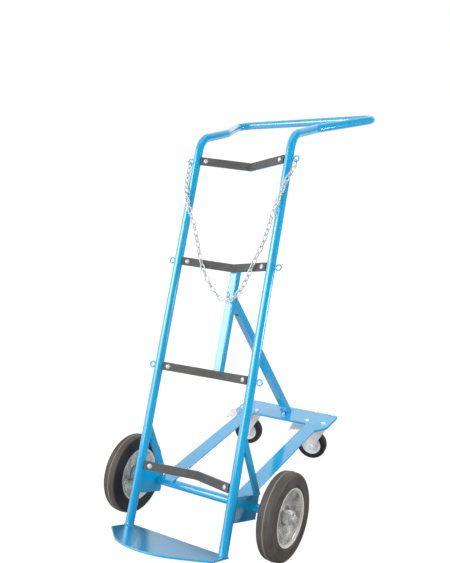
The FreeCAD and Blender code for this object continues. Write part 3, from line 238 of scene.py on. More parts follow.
seen, mirrored = seen_rays(tree)
direction = add_node(tree, "ShaderNodeTexCoord").outputs["Generated"]
to_dark = vector_math(tree, "DOT_PRODUCT", direction, DARK_DIRECTION, output="Value")
ramp = add_node(tree, "ShaderNodeValToRGB", {0: map_range(tree, to_dark, (-1.0, 1.0))})
for number, (position, tone) in enumerate(((WHITE_END, WHITE), (DARK_START, DARK_TONE))):
    ramp.color_ramp.elements[number].position = position
    ramp.color_ramp.elements[number].color = tone
height = add_node(tree, "ShaderNodeSeparateXYZ", {0: direction}).outputs["Z"]
overhead = map_range(tree, height, OVERHEAD_HEIGHTS, OVERHEAD_LEVELS)
scaled = {0: ramp.outputs["Color"], "Scale": overhead}
studio = add_node(tree, "ShaderNodeVectorMath", scaled, operation="SCALE").outputs[0]
light = {
    "Color": mix_colour(tree, mirrored, WHITE, studio),
    "Strength": map_range(tree, seen, after=(DIFFUSE_LEVEL, 1.0)),
}
background = add_node(tree, "ShaderNodeBackground", light)
add_node(tree, "ShaderNodeOutputWorld", {"Surface": background.outputs[0]})
print("world light", DIFFUSE_LEVEL)

# %% [markdown]
# ## Lamps
#
# The lamps are large and soft. Some are left out of reflections: they light the cart, but a big
# lamp mirrored in a round tube is a broad white stripe. The others draw the highlights: those at
# the front left make the pale line down each tube and whiten the faces of the square tubes, and a
# small low one at the rear right makes the hubs and rims glint.

# %% Hang the lamps


def soft_lamp(name, place, target, width, power, mirrored=True):
    """A square lamp that faces a target, and may be left out of reflections."""
    data = bpy.data.lights.new(name, "AREA")
    data.size = width
    data.energy = power
    lamp = bpy.data.objects.new(name, data)
    scene.collection.objects.link(lamp)
    lamp.location = place
    lamp.rotation_euler = (Vector(target) - Vector(place)).to_track_quat("-Z", "Y").to_euler()
    lamp.visible_glossy = mirrored


soft_lamp("key_lamp", (0.4, -3.4, 1.9), (0, -0.1, 0.6), 2.2, 66, mirrored=False)
soft_lamp("front_lamp", (-0.7, -2.9, 2.3), (0, -0.1, 0.8), 2.2, 26)
soft_lamp("left_lamp", (-1.9, -2.4, 2.6), (0, -0.1, 0.8), 1.8, 25)
soft_lamp("side_lamp", (2.6, 0.9, 1.4), (0, 0, 0.4), 2.3, 44, mirrored=False)
soft_lamp("glint_lamp", (2.3, 1.05, 0.36), (0.3, 0.1, 0.2), 0.5, 9)
soft_lamp("back_lamp", (-1.0, 3.0, 1.8), (0, 0, 0.5), 1.6, 34, mirrored=False)
soft_lamp("top_lamp", (0.2, 0.4, 3.4), (0, 0, 0), 2.4, 5)
print("lamps", [lamp.name for lamp in bpy.data.lights])

# %% [markdown]
# ## Floor
#
# The floor is a sheet of white paper. Under this light plain white would render pale grey, so most
# of its brightness is a glow, full for the rays that look at it and weaker for the light it throws
# up under the cart. The rest is ordinary paper that takes the cart's soft shadow. Further out,
# where there is no shadow to show, the floor fades into the white behind it. Mirrored in the
# paint, the floor behind the cart is bright and the floor towards the front right is dim, as in a
# studio.

# %% Lay the floor
FLOOR_SIZE = 30
floor_mesh = bmesh.new()
bmesh.ops.create_grid(floor_mesh, x_segments=1, y_segments=1, size=FLOOR_SIZE)
floor_data = bpy.data.meshes.new("floor")
floor_mesh.to_mesh(floor_data)
floor_mesh.free()
floor = bpy.data.objects.new("floor", floor_data)
scene.collection.objects.link(floor)
floor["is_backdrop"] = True
print("floor", short(floor.dimensions))

# %% White paper
PAPER_TONES = (0.22, 0.06)
FADE_DISTANCES, FADE_LEVELS = (0.9, 4.0), (0.86, 1.0)
BRIGHT_DIRECTION = (-0.90, 0.40, 0)
MIRROR_DISTANCES, MIRROR_LEVELS = (-0.1, 0.35), (0.05, 0.62)
BOUNCE_LEVEL = 0.45


def new_material(name):
    """A material with its node tree and its Principled shader."""
    material = bpy.data.materials.new(name)
    material.use_nodes = True
    return material, material.node_tree, material.node_tree.nodes["Principled BSDF"]


floor_paper, tree, shader = new_material("floor_paper")
seen, mirrored = seen_rays(tree)
place = add_node(tree, "ShaderNodeTexCoord").outputs["Object"]
distance = vector_math(tree, "LENGTH", place, output="Value")
fade = map_range(tree, distance, FADE_DISTANCES, FADE_LEVELS, smooth=True)
behind = vector_math(tree, "DOT_PRODUCT", place, BRIGHT_DIRECTION, output="Value")
mirror_level = map_range(tree, behind, MIRROR_DISTANCES, MIRROR_LEVELS, smooth=True)
seen_level = map_range(tree, mirrored, after=(1.0, mirror_level))
glow = map_range(tree, seen, after=(BOUNCE_LEVEL, seen_level))
paper = {
    "Base Color": map_range(tree, mirrored, after=PAPER_TONES),
    "Roughness": 0.9,
    "Specular IOR Level": 0.0,
    "Emission Color": WHITE,
    "Emission Strength": math_node(tree, "MULTIPLY", fade, glow),
}
set_inputs(tree, shader, paper)
floor_data.materials.append(floor_paper)
print("floor finish", floor_paper.name)

# %% [markdown]
# ## Shared effects
#
# Every surface has a soft blotchiness, because none is one even tone, and a fine grain that breaks
# up its gloss. One node group makes both. A second makes the marks of handling: patches that are
# stretched one way and fade out. Each group is built once and puts out only numbers, and each
# material decides what they do there.

# %% Blotches and grain


def node_group(name, inputs, outputs):
    """A group with its inputs' sockets and its output node."""
    group = bpy.data.node_groups.new(name, "ShaderNodeTree")
    for label, value in inputs.items():
        socket = group.interface.new_socket(label, in_out="INPUT", socket_type="NodeSocketFloat")
        socket.default_value = value
    for label in outputs:
        group.interface.new_socket(label, in_out="OUTPUT", socket_type="NodeSocketFloat")
    given = group.nodes.new("NodeGroupInput").outputs
    return group, given, group.nodes.new("NodeGroupOutput")


surface_variation, given, result = node_group(
    "surface_variation", {"Blotch Scale": 14.0, "Grain Scale": 900.0}, ["Blotch", "Grain"]
)
place = add_node(surface_variation, "ShaderNodeTexCoord").outputs["Object"]
for effect in ("Blotch", "Grain"):
    look = {"Vector": place, "Scale": given[f"{effect} Scale"], "Detail": 4.0, "Roughness": 0.55}
    noise = add_node(surface_variation, "ShaderNodeTexNoise", look)
    set_inputs(surface_variation, result, {effect: noise.outputs["Fac"]})
print("puts out", [socket.name for socket in result.inputs if socket.name])

# %% Marks of handling
MARK_EDGE = (0.60, 0.78)
handling_marks, given, result = node_group(
    "handling_marks", {"Scale": 30.0, "Stretch": 6.0, "Amount": 0.2}, ["Mask"]
)
place = add_node(handling_marks, "ShaderNodeTexCoord").outputs["Object"]
ratio = {"X": 1.0, "Y": given["Stretch"], "Z": 1.0}
stretch = add_node(handling_marks, "ShaderNodeCombineXYZ", ratio).outputs[0]
look = {
    "Vector": vector_math(handling_marks, "MULTIPLY", place, stretch),
    "Scale": given["Scale"],
    "Detail": 8.0,
    "Roughness": 0.7,
    "Distortion": 0.6,
}
noise = add_node(handling_marks, "ShaderNodeTexNoise", look)
worn = map_range(handling_marks, noise.outputs["Fac"], MARK_EDGE)
faded = math_node(handling_marks, "MULTIPLY", worn, given["Amount"])
set_inputs(handling_marks, result, {"Mask": faded})
print("groups", [group.name for group in bpy.data.node_groups])

# %% [markdown]
# Wheels wear in rings: the tread goes grey with floor dust while the sidewall stays dark. The rims
# are painted darker where they meet the hub, a painted shade for that hollow, and their rolled lips
# are painted a pale cream, a painted highlight. A third group measures the distance from a wheel's
# axle and turns a band of it into a mask. Both main wheels share one axle, so its height and its
# place along the cart are all that the group needs. The sides of the tyres that face the frame are
# painted darker, a painted shade for the light that the frame and the other wheel keep off them,
# and a fourth group tells them by their distance from the middle of the cart.

# %% Rings about an axle
axle_ring, given, result = node_group(
    "axle_ring",
    {"Axle Y": 0.0, "Axle Z": 0.0, "Clear Radius": 0.0, "Full Radius": 1.0},
    ["Mask"],
)
place = add_node(axle_ring, "ShaderNodeTexCoord").outputs["Object"]
spot = {"Y": given["Axle Y"], "Z": given["Axle Z"]}
axle_spot = add_node(axle_ring, "ShaderNodeCombineXYZ", spot).outputs[0]
from_axle = vector_math(axle_ring, "SUBTRACT", place, axle_spot)
in_plane = vector_math(axle_ring, "MULTIPLY", from_axle, (0, 1, 1))
radius = vector_math(axle_ring, "LENGTH", in_plane, output="Value")
limits = given["Clear Radius"], given["Full Radius"]
set_inputs(axle_ring, result, {"Mask": map_range(axle_ring, radius, limits, smooth=True)})
print("rings about", short(AXLE))

# %% Painted shade on the sides that face the frame
frame_side_shade, given, result = node_group("frame_side_shade", {"Clear X": 1.0, "Full X": 0.0}, ["Mask"])
place = add_node(frame_side_shade, "ShaderNodeTexCoord").outputs["Object"]
across = add_node(frame_side_shade, "ShaderNodeSeparateXYZ", {0: place}).outputs["X"]
from_middle = math_node(frame_side_shade, "ABSOLUTE", across)
limits = given["Clear X"], given["Full X"]
# The mask is painted shade: it darkens the tyre sides near the frame, where the frame keeps light
# off.
set_inputs(frame_side_shade, result, {"Mask": map_range(frame_side_shade, from_middle, limits, smooth=True)})
print("groups", [group.name for group in bpy.data.node_groups])

# %% [markdown]
# ## Finishes
#
# All finishes share one recipe: two tones mixed by blotches, layers of wear and of painted light
# on top, roughness that wanders a little, and a grain that lifts the normal by a few hundredths of
# a millimetre. A layer is a colour with a mask: rings about the axle, painted shade on the side
# that faces the frame, or the marks of handling.

# %% Layers of wear and painted light
Ring = namedtuple("Ring", "colour clear full amount")
Inside = namedtuple("Inside", "colour clear full")
Marks = namedtuple("Marks", "colour scale stretch amount")


def group_outputs(tree, group, inputs):
    return add_node(tree, "ShaderNodeGroup", inputs, node_tree=group).outputs


def wear_and_light_layers(tree, rings, shaded_inside, marks):
    """The mask and colour of each layer, in the order in which they are laid on."""
    layers = []
    for ring in rings:
        inputs = {"Clear Radius": ring.clear, "Full Radius": ring.full}
        axle = {"Axle Y": AXLE.y, "Axle Z": AXLE.z}
        mask = group_outputs(tree, axle_ring, axle | inputs)["Mask"]
        layers.append((math_node(tree, "MULTIPLY", mask, ring.amount), ring.colour))
    # Painted shade: the sides of the tyres that face the frame are darkened.
    if shaded_inside:
        inputs = {"Clear X": shaded_inside.clear, "Full X": shaded_inside.full}
        layers.append((group_outputs(tree, frame_side_shade, inputs)["Mask"], shaded_inside.colour))
    if marks:
        inputs = {"Scale": marks.scale, "Stretch": marks.stretch, "Amount": marks.amount}
        layers.append((group_outputs(tree, handling_marks, inputs)["Mask"], marks.colour))
    return layers


print("layers", [layer.__name__ for layer in (Ring, Inside, Marks)])

# %% One recipe for the finishes
PATCH_RANGE = (0.33, 0.67)
GLOSS_RANGE = (0.25, 0.75)


def finish(
    name, tones, roughness, grain, blotch, grain_scale, marks,
    rings=(), shaded_inside=None, metallic=0.0, first_ring_metallic=None,
):
    """A material of two tones and a roughness range, with a grain depth in metres.

    Marks, rings and painted shade on the sides that face the frame are layers on the colour. The
    last argument sets how metallic the first ring is.
    """
    material, tree, shader = new_material(name)
    scales = {"Blotch Scale": blotch, "Grain Scale": grain_scale}
    variation = group_outputs(tree, surface_variation, scales)
    patches = map_range(tree, variation["Blotch"], PATCH_RANGE)
    colour = mix_colour(tree, patches, (*tones[0], 1), (*tones[1], 1))
    layers = wear_and_light_layers(tree, rings, shaded_inside, marks)
    for mask, layer_colour in layers:
        colour = mix_colour(tree, mask, colour, (*layer_colour, 1))
    if first_ring_metallic is not None:
        metallic = map_range(tree, layers[0][0], after=(metallic, first_ring_metallic))
    ripple = {"Strength": 1.0, "Distance": grain, "Height": variation["Grain"]}
    surface = {
        "Base Color": colour,
        "Roughness": map_range(tree, variation["Grain"], GLOSS_RANGE, roughness),
        "Metallic": metallic,
        "Normal": add_node(tree, "ShaderNodeBump", ripple).outputs["Normal"],
    }
    set_inputs(tree, shader, surface)
    return material


print("recipe uses", len(bpy.data.node_groups), "groups")

# %% [markdown]
# Powder coat is a thick gloss paint with a faint orange-peel ripple. Cylinders rub the foot plate,
# so its gloss is softer.

# %% Powder coat
COAT_IOR = 2.3


def powder_coat(name, coat_roughness, mark_amount):
    """The blue paint, with a clear gloss that may be dulled by wear."""
    material = finish(
        name,
        tones=((0.000, 0.375, 0.715), (0.000, 0.415, 0.770)),
        roughness=(0.16, 0.24),
        grain=0.000008,
        blotch=9.0,
        grain_scale=130.0,
        marks=Marks((0.08, 0.47, 0.79), scale=40.0, stretch=5.0, amount=mark_amount),
    )
    coat = {"Coat Weight": 1.0, "Coat IOR": COAT_IOR, "Coat Roughness": coat_roughness}
    tree = material.node_tree
    set_inputs(tree, tree.nodes["Principled BSDF"], coat)
    return material


blue_paint = powder_coat("blue_powder_coat", coat_roughness=0.06, mark_amount=0.20)
foot_paint = powder_coat("blue_powder_coat_rubbed", coat_roughness=0.20, mark_amount=0.45)
print("paints", [blue_paint.name, foot_paint.name])

# %% [markdown]
# Zinc plate is a bright metal with cloudy patches. The castors take a paler, less metallic copy of
# the zinc: painted light, so that they read bright in the shade at the back. The rims' rolled lips
# are painted a pale, less metallic cream, a painted highlight, and the dish is painted darker at
# the hub, a painted shade.

# %% Zinc
zinc_plate = finish(
    "bright_zinc_plate",
    tones=((0.70, 0.71, 0.72), (0.94, 0.94, 0.93)),
    roughness=(0.20, 0.38),
    grain=0.00003,
    blotch=70.0,
    grain_scale=1500.0,
    marks=Marks((0.36, 0.36, 0.35), scale=70.0, stretch=3.0, amount=0.5),
    metallic=0.5,
)
# Painted light: a paler, less metallic copy of the zinc, so that the castors read bright in shade.
castor_zinc_painted_lit = finish(
    "castor_zinc_plate_painted_lit",
    tones=((0.86, 0.87, 0.88), (0.98, 0.98, 0.97)),
    roughness=(0.22, 0.40),
    grain=0.00002,
    blotch=60.0,
    grain_scale=1500.0,
    marks=Marks((0.50, 0.50, 0.49), scale=80.0, stretch=2.0, amount=0.5),
    metallic=0.12,
)
hub_zinc = finish(
    "hub_zinc_plate",
    tones=((0.62, 0.625, 0.62), (0.95, 0.95, 0.93)),
    roughness=(0.14, 0.30),
    grain=0.00002,
    blotch=60.0,
    grain_scale=1500.0,
    marks=Marks((0.12, 0.12, 0.11), scale=80.0, stretch=2.0, amount=0.5),
    metallic=0.5,
)
chain_zinc = finish(
    "chain_zinc_plate",
    tones=((0.62, 0.625, 0.63), (0.97, 0.97, 0.96)),
    roughness=(0.22, 0.40),
    grain=0.00003,
    blotch=110.0,
    grain_scale=1500.0,
    marks=Marks((0.20, 0.20, 0.19), scale=90.0, stretch=2.0, amount=0.5),
    metallic=0.4,
)
rim_zinc = finish(
    "rim_zinc_plate",
    tones=((0.34, 0.34, 0.31), (0.98, 0.98, 0.92)),
    roughness=(0.18, 0.34),
    grain=0.00002,
    blotch=34.0,
    grain_scale=700.0,
    marks=Marks((0.08, 0.08, 0.07), scale=48.0, stretch=1.5, amount=0.7),
    rings=[
        # Painted highlight: the rolled lip is painted a pale cream.
        Ring((0.80, 0.765, 0.70), clear=0.0735, full=0.0765, amount=0.95),
        # Painted shade: the dish is darkened in the hollow round the hub.
        Ring((0.06, 0.055, 0.05), clear=0.030, full=0.023, amount=0.5),
    ],
    metallic=0.66,
    # The painted highlight on the lip is also less metallic.
    first_ring_metallic=0.25,
)
metals = (zinc_plate, castor_zinc_painted_lit, hub_zinc, chain_zinc, rim_zinc)
print("metals", [material.name for material in metals])

# %% [markdown]
# The strips are satin rubber. The main tyres are browner and dustier, most of all on the tread,
# with a pale line painted along the seam as a painted highlight and painted shade on the sides that
# face the frame, and the castors' tyres are nearly black.

# %% Rubber
strip_rubber = finish(
    "strip_rubber",
    tones=((0.074, 0.073, 0.071), (0.102, 0.100, 0.097)),
    roughness=(0.38, 0.54),
    grain=0.00006,
    blotch=30.0,
    grain_scale=700.0,
    marks=Marks((0.17, 0.165, 0.16), scale=45.0, stretch=0.4, amount=0.35),
)
tyre_rubber = finish(
    "tyre_rubber",
    tones=((0.052, 0.046, 0.042), (0.088, 0.078, 0.070)),
    roughness=(0.44, 0.62),
    grain=0.00008,
    blotch=24.0,
    grain_scale=800.0,
    marks=Marks((0.19, 0.165, 0.14), scale=36.0, stretch=2.0, amount=0.40),
    rings=[
        Ring((0.115, 0.104, 0.090), clear=0.112, full=0.1225, amount=0.25),
        # Painted highlight: a pale line along the raised seam round the tread.
        Ring((0.34, 0.30, 0.24), clear=0.1243, full=0.1248, amount=0.75),
    ],
    # Painted shade: the sides of the tyres that face the frame are darker.
    shaded_inside=Inside(
        (0.022, 0.020, 0.019), WHEEL_X["right"] - 0.017, WHEEL_X["right"] - 0.0225
    ),
)
castor_rubber = finish(
    "castor_rubber",
    tones=((0.020, 0.019, 0.018), (0.034, 0.032, 0.030)),
    roughness=(0.40, 0.58),
    grain=0.00006,
    blotch=40.0,
    grain_scale=900.0,
    marks=Marks((0.13, 0.115, 0.10), scale=60.0, stretch=2.0, amount=0.35),
)
print("rubbers", [material.name for material in (strip_rubber, tyre_rubber, castor_rubber)])

# %% [markdown]
# ## Pieces
#
# Every finished shape becomes a piece that rides on one body of the model, and nearly all of them
# stand in for one of its nodes. The model's record says which body a node belongs to and what it
# is made of. A piece is shaded smooth up to an angle, apart from the faces that are named as flat.

# %% Pieces that stand in for nodes
body_of_node = {
    node: body for body, members in record["behaviour"]["bodies"].items() for node in members
}
slot_of_node = {entry["node"]: entry["material_slot"] for entry in record["subparts"]}
finish_of_slot = {
    "blue_paint": blue_paint,
    "zinc_steel": zinc_plate,
    "black_rubber": strip_rubber,
    "tyre_rubber": tyre_rubber,
}


def new_piece(name, mesh, material, body, slot, sharp_angle, flat=()):
    """An object for a finished bmesh, riding on a body."""
    mesh.faces.index_update()
    flat_numbers = [face.index for face in flat]
    data = bpy.data.meshes.new(name)
    mesh.to_mesh(data)
    mesh.free()
    data.materials.append(material)
    data.shade_smooth()
    data.set_sharp_from_angle(angle=math.radians(sharp_angle))
    for number in flat_numbers:
        data.polygons[number].use_smooth = False
    piece = bpy.data.objects.new(name, data)
    scene.collection.objects.link(piece)
    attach(piece, body)
    return piece


def stand_in(name, mesh, node, material=None, sharp_angle=40, flat=()):
    """A finished mesh that takes a node's place, on the node's body, in its slot's finish unless
    one is given.
    """
    slot = slot_of_node[node]
    material = material or finish_of_slot[slot]
    piece = new_piece(name, mesh, material, body_of_node[node], slot, sharp_angle, flat)
    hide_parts(node)


# %% [markdown]
# ## Soft edges on the solids
#
# A real plate or bar has no knife edges: sawing, folding and paint all round them, and the thin
# line of light along a rounded edge is much of what makes metal look like metal. Most solids only
# need that. Their meshes are loose triangles, so a copy is merged, its flat triangles dissolved
# into whole faces, and its sharp edges bevelled. Only the roundings and the faces that are really
# bent are shaded smooth: a flat face that is smoothed into its rounded edge would take up some of
# the edge's shading and look like a shallow dish.

# %% How wide each rounding is, in millimetres
ROUNDINGS = {
    "foot_plate": 1.2,
    "castor_plate": 1.0,
    "rear_bar_left": 0.9,
    "rear_bar_right": 0.9,
    "axle_plate_left": 0.7,
    "axle_plate_right": 0.7,
    "brace_left": 1.2,
    "brace_right": 1.2,
    "strut_lug": 0.8,
    "strut_screw": 0.5,
    "strut_nut": 0.5,
    "strip_nuts": 0.4,
    "castor_bolts": 0.6,
    "castor_nuts": 0.5,
    "axle_washers": 0.4,
    "axle_shaft": 0.8,
    "axle_tube": 0.0,
    "upright_left": 0.0,
    "upright_right": 0.0,
    "handle": 0.0,
}
for number in range(1, 5):
    ROUNDINGS[f"cross_band_{number}"] = 0.7
    ROUNDINGS[f"rubber_strip_{number}"] = 1.0
for side in SIDE_SIGN:
    ROUNDINGS[f"wheel_{side}_hub"] = 1.0
    ROUNDINGS[f"castor_{side}_top_plate"] = 0.8
    ROUNDINGS[f"castor_{side}_king_pin"] = 0.6
    ROUNDINGS[f"castor_{side}_fork"] = 0.8
    ROUNDINGS[f"castor_{side}_axle_bolt"] = 0.7
    ROUNDINGS[f"castor_{side}_pedal_pin"] = 0.5
    ROUNDINGS[f"castor_{side}_brake_pedal"] = 0.8
print("widest rounding", max(ROUNDINGS.values()), "mm")

# %% Copies with whole faces
MERGE_DISTANCE = 2e-6
FLAT = math.radians(0.6)
BEND_LEAST, BEND_MOST = math.radians(0.3), math.radians(30)


def merged_copy(node):
    """A copy of a node's mesh, its triangles joined into whole faces where they are flat."""
    mesh = bmesh.new()
    mesh.from_mesh(nodes[node].data)
    bmesh.ops.remove_doubles(mesh, verts=mesh.verts, dist=MERGE_DISTANCE)
    bmesh.ops.dissolve_limit(mesh, angle_limit=FLAT, verts=mesh.verts, edges=mesh.edges)
    mesh.normal_update()
    return mesh


def flat_planes(mesh):
    """The normal and a point of every face that bends into no other face."""
    bent = set()
    for edge in mesh.edges:
        if edge.is_manifold and BEND_LEAST < edge.calc_face_angle(0) < BEND_MOST:
            bent.update(edge.link_faces)
    flat = [face for face in mesh.faces if face not in bent]
    return [(face.normal.copy(), face.calc_center_median()) for face in flat]


plate = merged_copy("castor_plate")
print("castor plate", len(plate.faces), "faces,", len(flat_planes(plate)), "of them flat")
plate.free()

# %% Rounded copies of the CAD nodes
SHARP = math.radians(35)
SAME_DIRECTION = 0.99999
ON_PLANE = 1e-5
TUBE_ROUNDING, TUBE_SHORTEST = 2.0, 0.2


def lies_on(face, normal, point):
    """Whether a face lies on a plane, to a hundredth of a millimetre."""
    away = abs(normal.dot(face.calc_center_median() - point))
    return normal.dot(face.normal) > SAME_DIRECTION and away < ON_PLANE


def round_off(mesh, corners, width, segments, affect):
    """Edges or corners rounded by a width in metres."""
    bmesh.ops.bevel(
        mesh, geom=corners, offset=width, offset_type="OFFSET", segments=segments,
        profile=0.5, affect=affect, clamp_overlap=True, material=-1,
    )


def rounded_node(node, width, material=None, segments=2, shortest=0.0):
    """A copy of a node, with the sharp edges rounded that are longer than a given length."""
    mesh = merged_copy(node)
    sharp = [
        edge for edge in mesh.edges
        if edge.is_manifold and edge.calc_face_angle(0) > SHARP and edge.calc_length() > shortest
    ]
    planes = flat_planes(mesh)
    if width:
        round_off(mesh, sharp, width, segments, "EDGES")
    mesh.normal_update()
    flat = {face for face in mesh.faces if any(lies_on(face, *plane) for plane in planes)}
    stand_in(f"{node}_finished", mesh, node, material, flat=flat)


SHINIER = ("axle_washers", "axle_shaft", "wheel_left_hub", "wheel_right_hub")
own_finish = {node: hub_zinc for node in SHINIER} | {"foot_plate": foot_paint}
for node, width in ROUNDINGS.items():
    if node.startswith("castor_") and slot_of_node[node] == "zinc_steel":
        own_finish[node] = castor_zinc_painted_lit
    rounded_node(node, width * MM, own_finish.get(node))
for node in ("centre_post", "rear_strut"):
    rounded_node(node, TUBE_ROUNDING * MM, segments=3, shortest=TUBE_SHORTEST)
print("rounded", len(ROUNDINGS) + 2, "nodes")

# %% [markdown]
# ## Main tyres
#
# Tyres, rims and screw heads are all round about one axis, and a lathe is the natural way to make
# them: draw half a section, soften its corners, and spin it once. The section is drawn in
# millimetres as points of (along the axis, radius), so the numbers can be read like a drawing.
#
# The main wheels carry solid moulded tyres. The two halves of the mould leave a thin raised line
# round the middle of the tread, and a shallow groove each side of it. The sidewall has a moulded
# step below the shoulder and swells again above the rim. The line round the tread is the largest
# radius, so it is what the cart stands on.

# %% Section of the tyre
TYRE_HALF = [
    (1.0, 125.0), (1.9, 124.1), (8.4, 124.0), (9.0, 123.2), (10.4, 123.1), (11.0, 123.8),
    (16.0, 123.2), (19.6, 121.4), (22.2, 118.4), (23.6, 114.8), (24.9, 113.9), (24.9, 111.6),
    (24.0, 110.6), (23.8, 101.0), (24.5, 93.0), (24.7, 88.5), (23.6, 85.0), (21.4, 82.1),
    (20.9, 79.05),
]


def both_sides(half):
    """A whole outline from its right half."""
    return half + [(-x, radius) for x, radius in reversed(half)]


tyre_outline = both_sides(TYRE_HALF)
print("tyre width", 2 * max(tyre_outline)[0], "mm in", len(tyre_outline), "points")

# %% The lathe and the tyres
TINY, SAME_POINT = 1e-6, 1e-7
X_AXIS, Y_AXIS, Z_AXIS = (1, 0, 0), (0, 1, 0), (0, 0, 1)
TYRE_STEPS = 128


def full_turn(mesh, axis, steps):
    """All of a mesh spun once about an axis through the origin."""
    bmesh.ops.spin(
        mesh, geom=mesh.verts[:] + mesh.edges[:], cent=(0, 0, 0), axis=axis,
        angle=2 * math.pi, steps=steps, use_merge=True,
    )
    bmesh.ops.remove_doubles(mesh, verts=mesh.verts, dist=SAME_POINT)
    bmesh.ops.dissolve_degenerate(mesh, dist=SAME_POINT, edges=mesh.edges)
    bmesh.ops.recalc_face_normals(mesh, faces=mesh.faces)


def turned(outline, steps, soften, segments=2):
    """A closed outline of (x, radius) in millimetres, softened and spun about the X axis."""
    mesh = bmesh.new()
    corners = [mesh.verts.new((x * MM, radius * MM, 0)) for x, radius in outline]
    mesh.faces.new(corners)
    off_axis = [corner for corner in corners if corner.co.y > TINY]
    round_off(mesh, off_axis, soften * MM, segments, "VERTICES")
    bmesh.ops.delete(mesh, geom=mesh.faces[:], context="FACES_ONLY")
    on_axis = [edge for edge in mesh.edges if max(vert.co.y for vert in edge.verts) < TINY]
    bmesh.ops.delete(mesh, geom=on_axis, context="EDGES")
    full_turn(mesh, X_AXIS, steps)
    return mesh


def facing(place, direction):
    """The transform that puts a turned shape's X axis along a direction, at a place."""
    turn = Vector(direction).to_track_quat("X", "Z").to_matrix().to_4x4()
    return Matrix.Translation(Vector(place)) @ turn


def move(mesh, matrix):
    bmesh.ops.transform(mesh, matrix=matrix, verts=mesh.verts)


for side, x in WHEEL_X.items():
    tyre = turned(tyre_outline, TYRE_STEPS, soften=0.5)
    move(tyre, Matrix.Translation((x, AXLE.y, AXLE.z)))
    stand_in(f"wheel_{side}_tyre_moulded", tyre, f"wheel_{side}_tyre", sharp_angle=50)
print("tyres", len(WHEEL_X))

# %% [markdown]
# ## Pressed rims
#
# Each rim is two steel pressings back to back: a rolled lip that holds the tyre, a short flat, a
# deep dish and a raised ring round the hub that stiffens the middle. The section is closed, sheet
# thickness and all, so the dish is as solid from behind as from the front.

# %% Spin the rims
RIM_STEPS = 96
RIM_SECTION = [
    (0.1, 20.1), (0.1, 39.5), (1.8, 44.5), (13.5, 73.6), (13.5, 78.9), (20.95, 78.9),
    (21.05, 81.9), (22.4, 82.6), (23.5, 81.6), (23.2, 79.2), (20.6, 76.9), (17.6, 76.2),
    (16.2, 73.4), (12.2, 62.0), (7.6, 50.0), (5.0, 43.0), (3.9, 38.5), (3.6, 34.4),
    (4.6, 32.8), (6.0, 31.6), (6.2, 28.4), (5.2, 26.6), (3.4, 25.2), (3.0, 20.1),
]
for side, sign in SIDE_SIGN.items():
    for face, outward in (("outer", sign), ("inner", -sign)):
        rim = turned(RIM_SECTION, RIM_STEPS, soften=0.8, segments=3)
        move(rim, facing((WHEEL_X[side], AXLE.y, AXLE.z), (outward, 0, 0)))
        node = f"wheel_{side}_rim_{face}"
        stand_in(f"{node}_pressed", rim, node, rim_zinc, sharp_angle=50)
print("rims", 2 * len(SIDE_SIGN))

# %% [markdown]
# ## Split pins
#
# A split pin holds each wheel on: a wire folded to an eye, pushed through the axle and bent apart.
# Each half starts as a circle that is bent round half the eye, bent back into line, drawn down for
# the leg and turned outwards at its tip. The circle lies in the plane of the bends, so the pin is
# a flat outline of the wire, without thickness.

# %% Bend the pins
PIN_WIRE = 0.95
PIN_EYE_TOP, PIN_EYE_CENTRE = 14.9, 11.4
PIN_BACK_Y, PIN_BACK_Z = 2.46, 7.95
EYE_TURN, BACK_TURN = math.radians(150), math.radians(60)
PIN_LEG = ((20.4, 0.0), (1.2, 0.9), (1.4, 1.9))


def edges_in(items):
    return [item for item in items if isinstance(item, bmesh.types.BMEdge)]


def wire_circle(mesh, wire, segments, place):
    """The edges of a circle of wire that faces along X, at a place in millimetres."""
    turn = Matrix.Rotation(math.pi / 2, 4, "Y")
    ring = bmesh.ops.create_circle(
        mesh, cap_ends=False, segments=segments, radius=wire * MM, matrix=turn
    )["verts"]
    bmesh.ops.translate(mesh, vec=Vector(place) * MM, verts=ring)
    return list(dict.fromkeys(edge for vert in ring for edge in vert.link_edges))


def bend(mesh, edges, centre, axis, angle, steps):
    """Wire bent round a centre in millimetres. Gives the edges of its new end."""
    made = bmesh.ops.spin(
        mesh, geom=edges, cent=Vector(centre) * MM, axis=axis, angle=angle, steps=steps
    )
    return edges_in(made["geom_last"])


def draw_on(mesh, edges, run, swell=1.0):
    """Wire drawn on by a run in millimetres, thicker by a swell. Gives the edges of its new end."""
    made = bmesh.ops.extrude_edge_only(mesh, edges=edges)["geom"]
    tip = [item for item in made if isinstance(item, bmesh.types.BMVert)]
    bmesh.ops.translate(mesh, vec=Vector(run) * MM, verts=tip)
    middle = sum((vert.co for vert in tip), Vector()) / len(tip)
    bmesh.ops.scale(mesh, vec=(1, swell, swell), space=Matrix.Translation(-middle), verts=tip)
    return [edge for edge in edges_in(made) if set(edge.verts) <= set(tip)]


pin = bmesh.new()
for half in (-1, 1):
    back_centre = (0, half * PIN_BACK_Y, PIN_BACK_Z)
    end = wire_circle(pin, PIN_WIRE, 10, (0, 0, PIN_EYE_TOP - PIN_WIRE))
    end = bend(pin, end, (0, 0, PIN_EYE_CENTRE), X_AXIS, -half * EYE_TURN, steps=10)
    end = bend(pin, end, back_centre, X_AXIS, half * BACK_TURN, steps=4)
    for drop, spread in PIN_LEG:
        end = draw_on(pin, end, (0, half * spread, -drop))
    bmesh.ops.holes_fill(pin, edges=end, sides=12)
bmesh.ops.remove_doubles(pin, verts=pin.verts, dist=TINY)
bmesh.ops.recalc_face_normals(pin, faces=pin.faces)
print("pin reaches", short(max(vert.co[axis] / MM for vert in pin.verts) for axis in range(3)))

# %% Put the pins in
PIN_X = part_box("axle_pins")[1][0] - 2.0 * MM


def template_of(name, mesh):
    """Mesh data to copy from."""
    data = bpy.data.meshes.new(name)
    mesh.to_mesh(data)
    mesh.free()
    return data


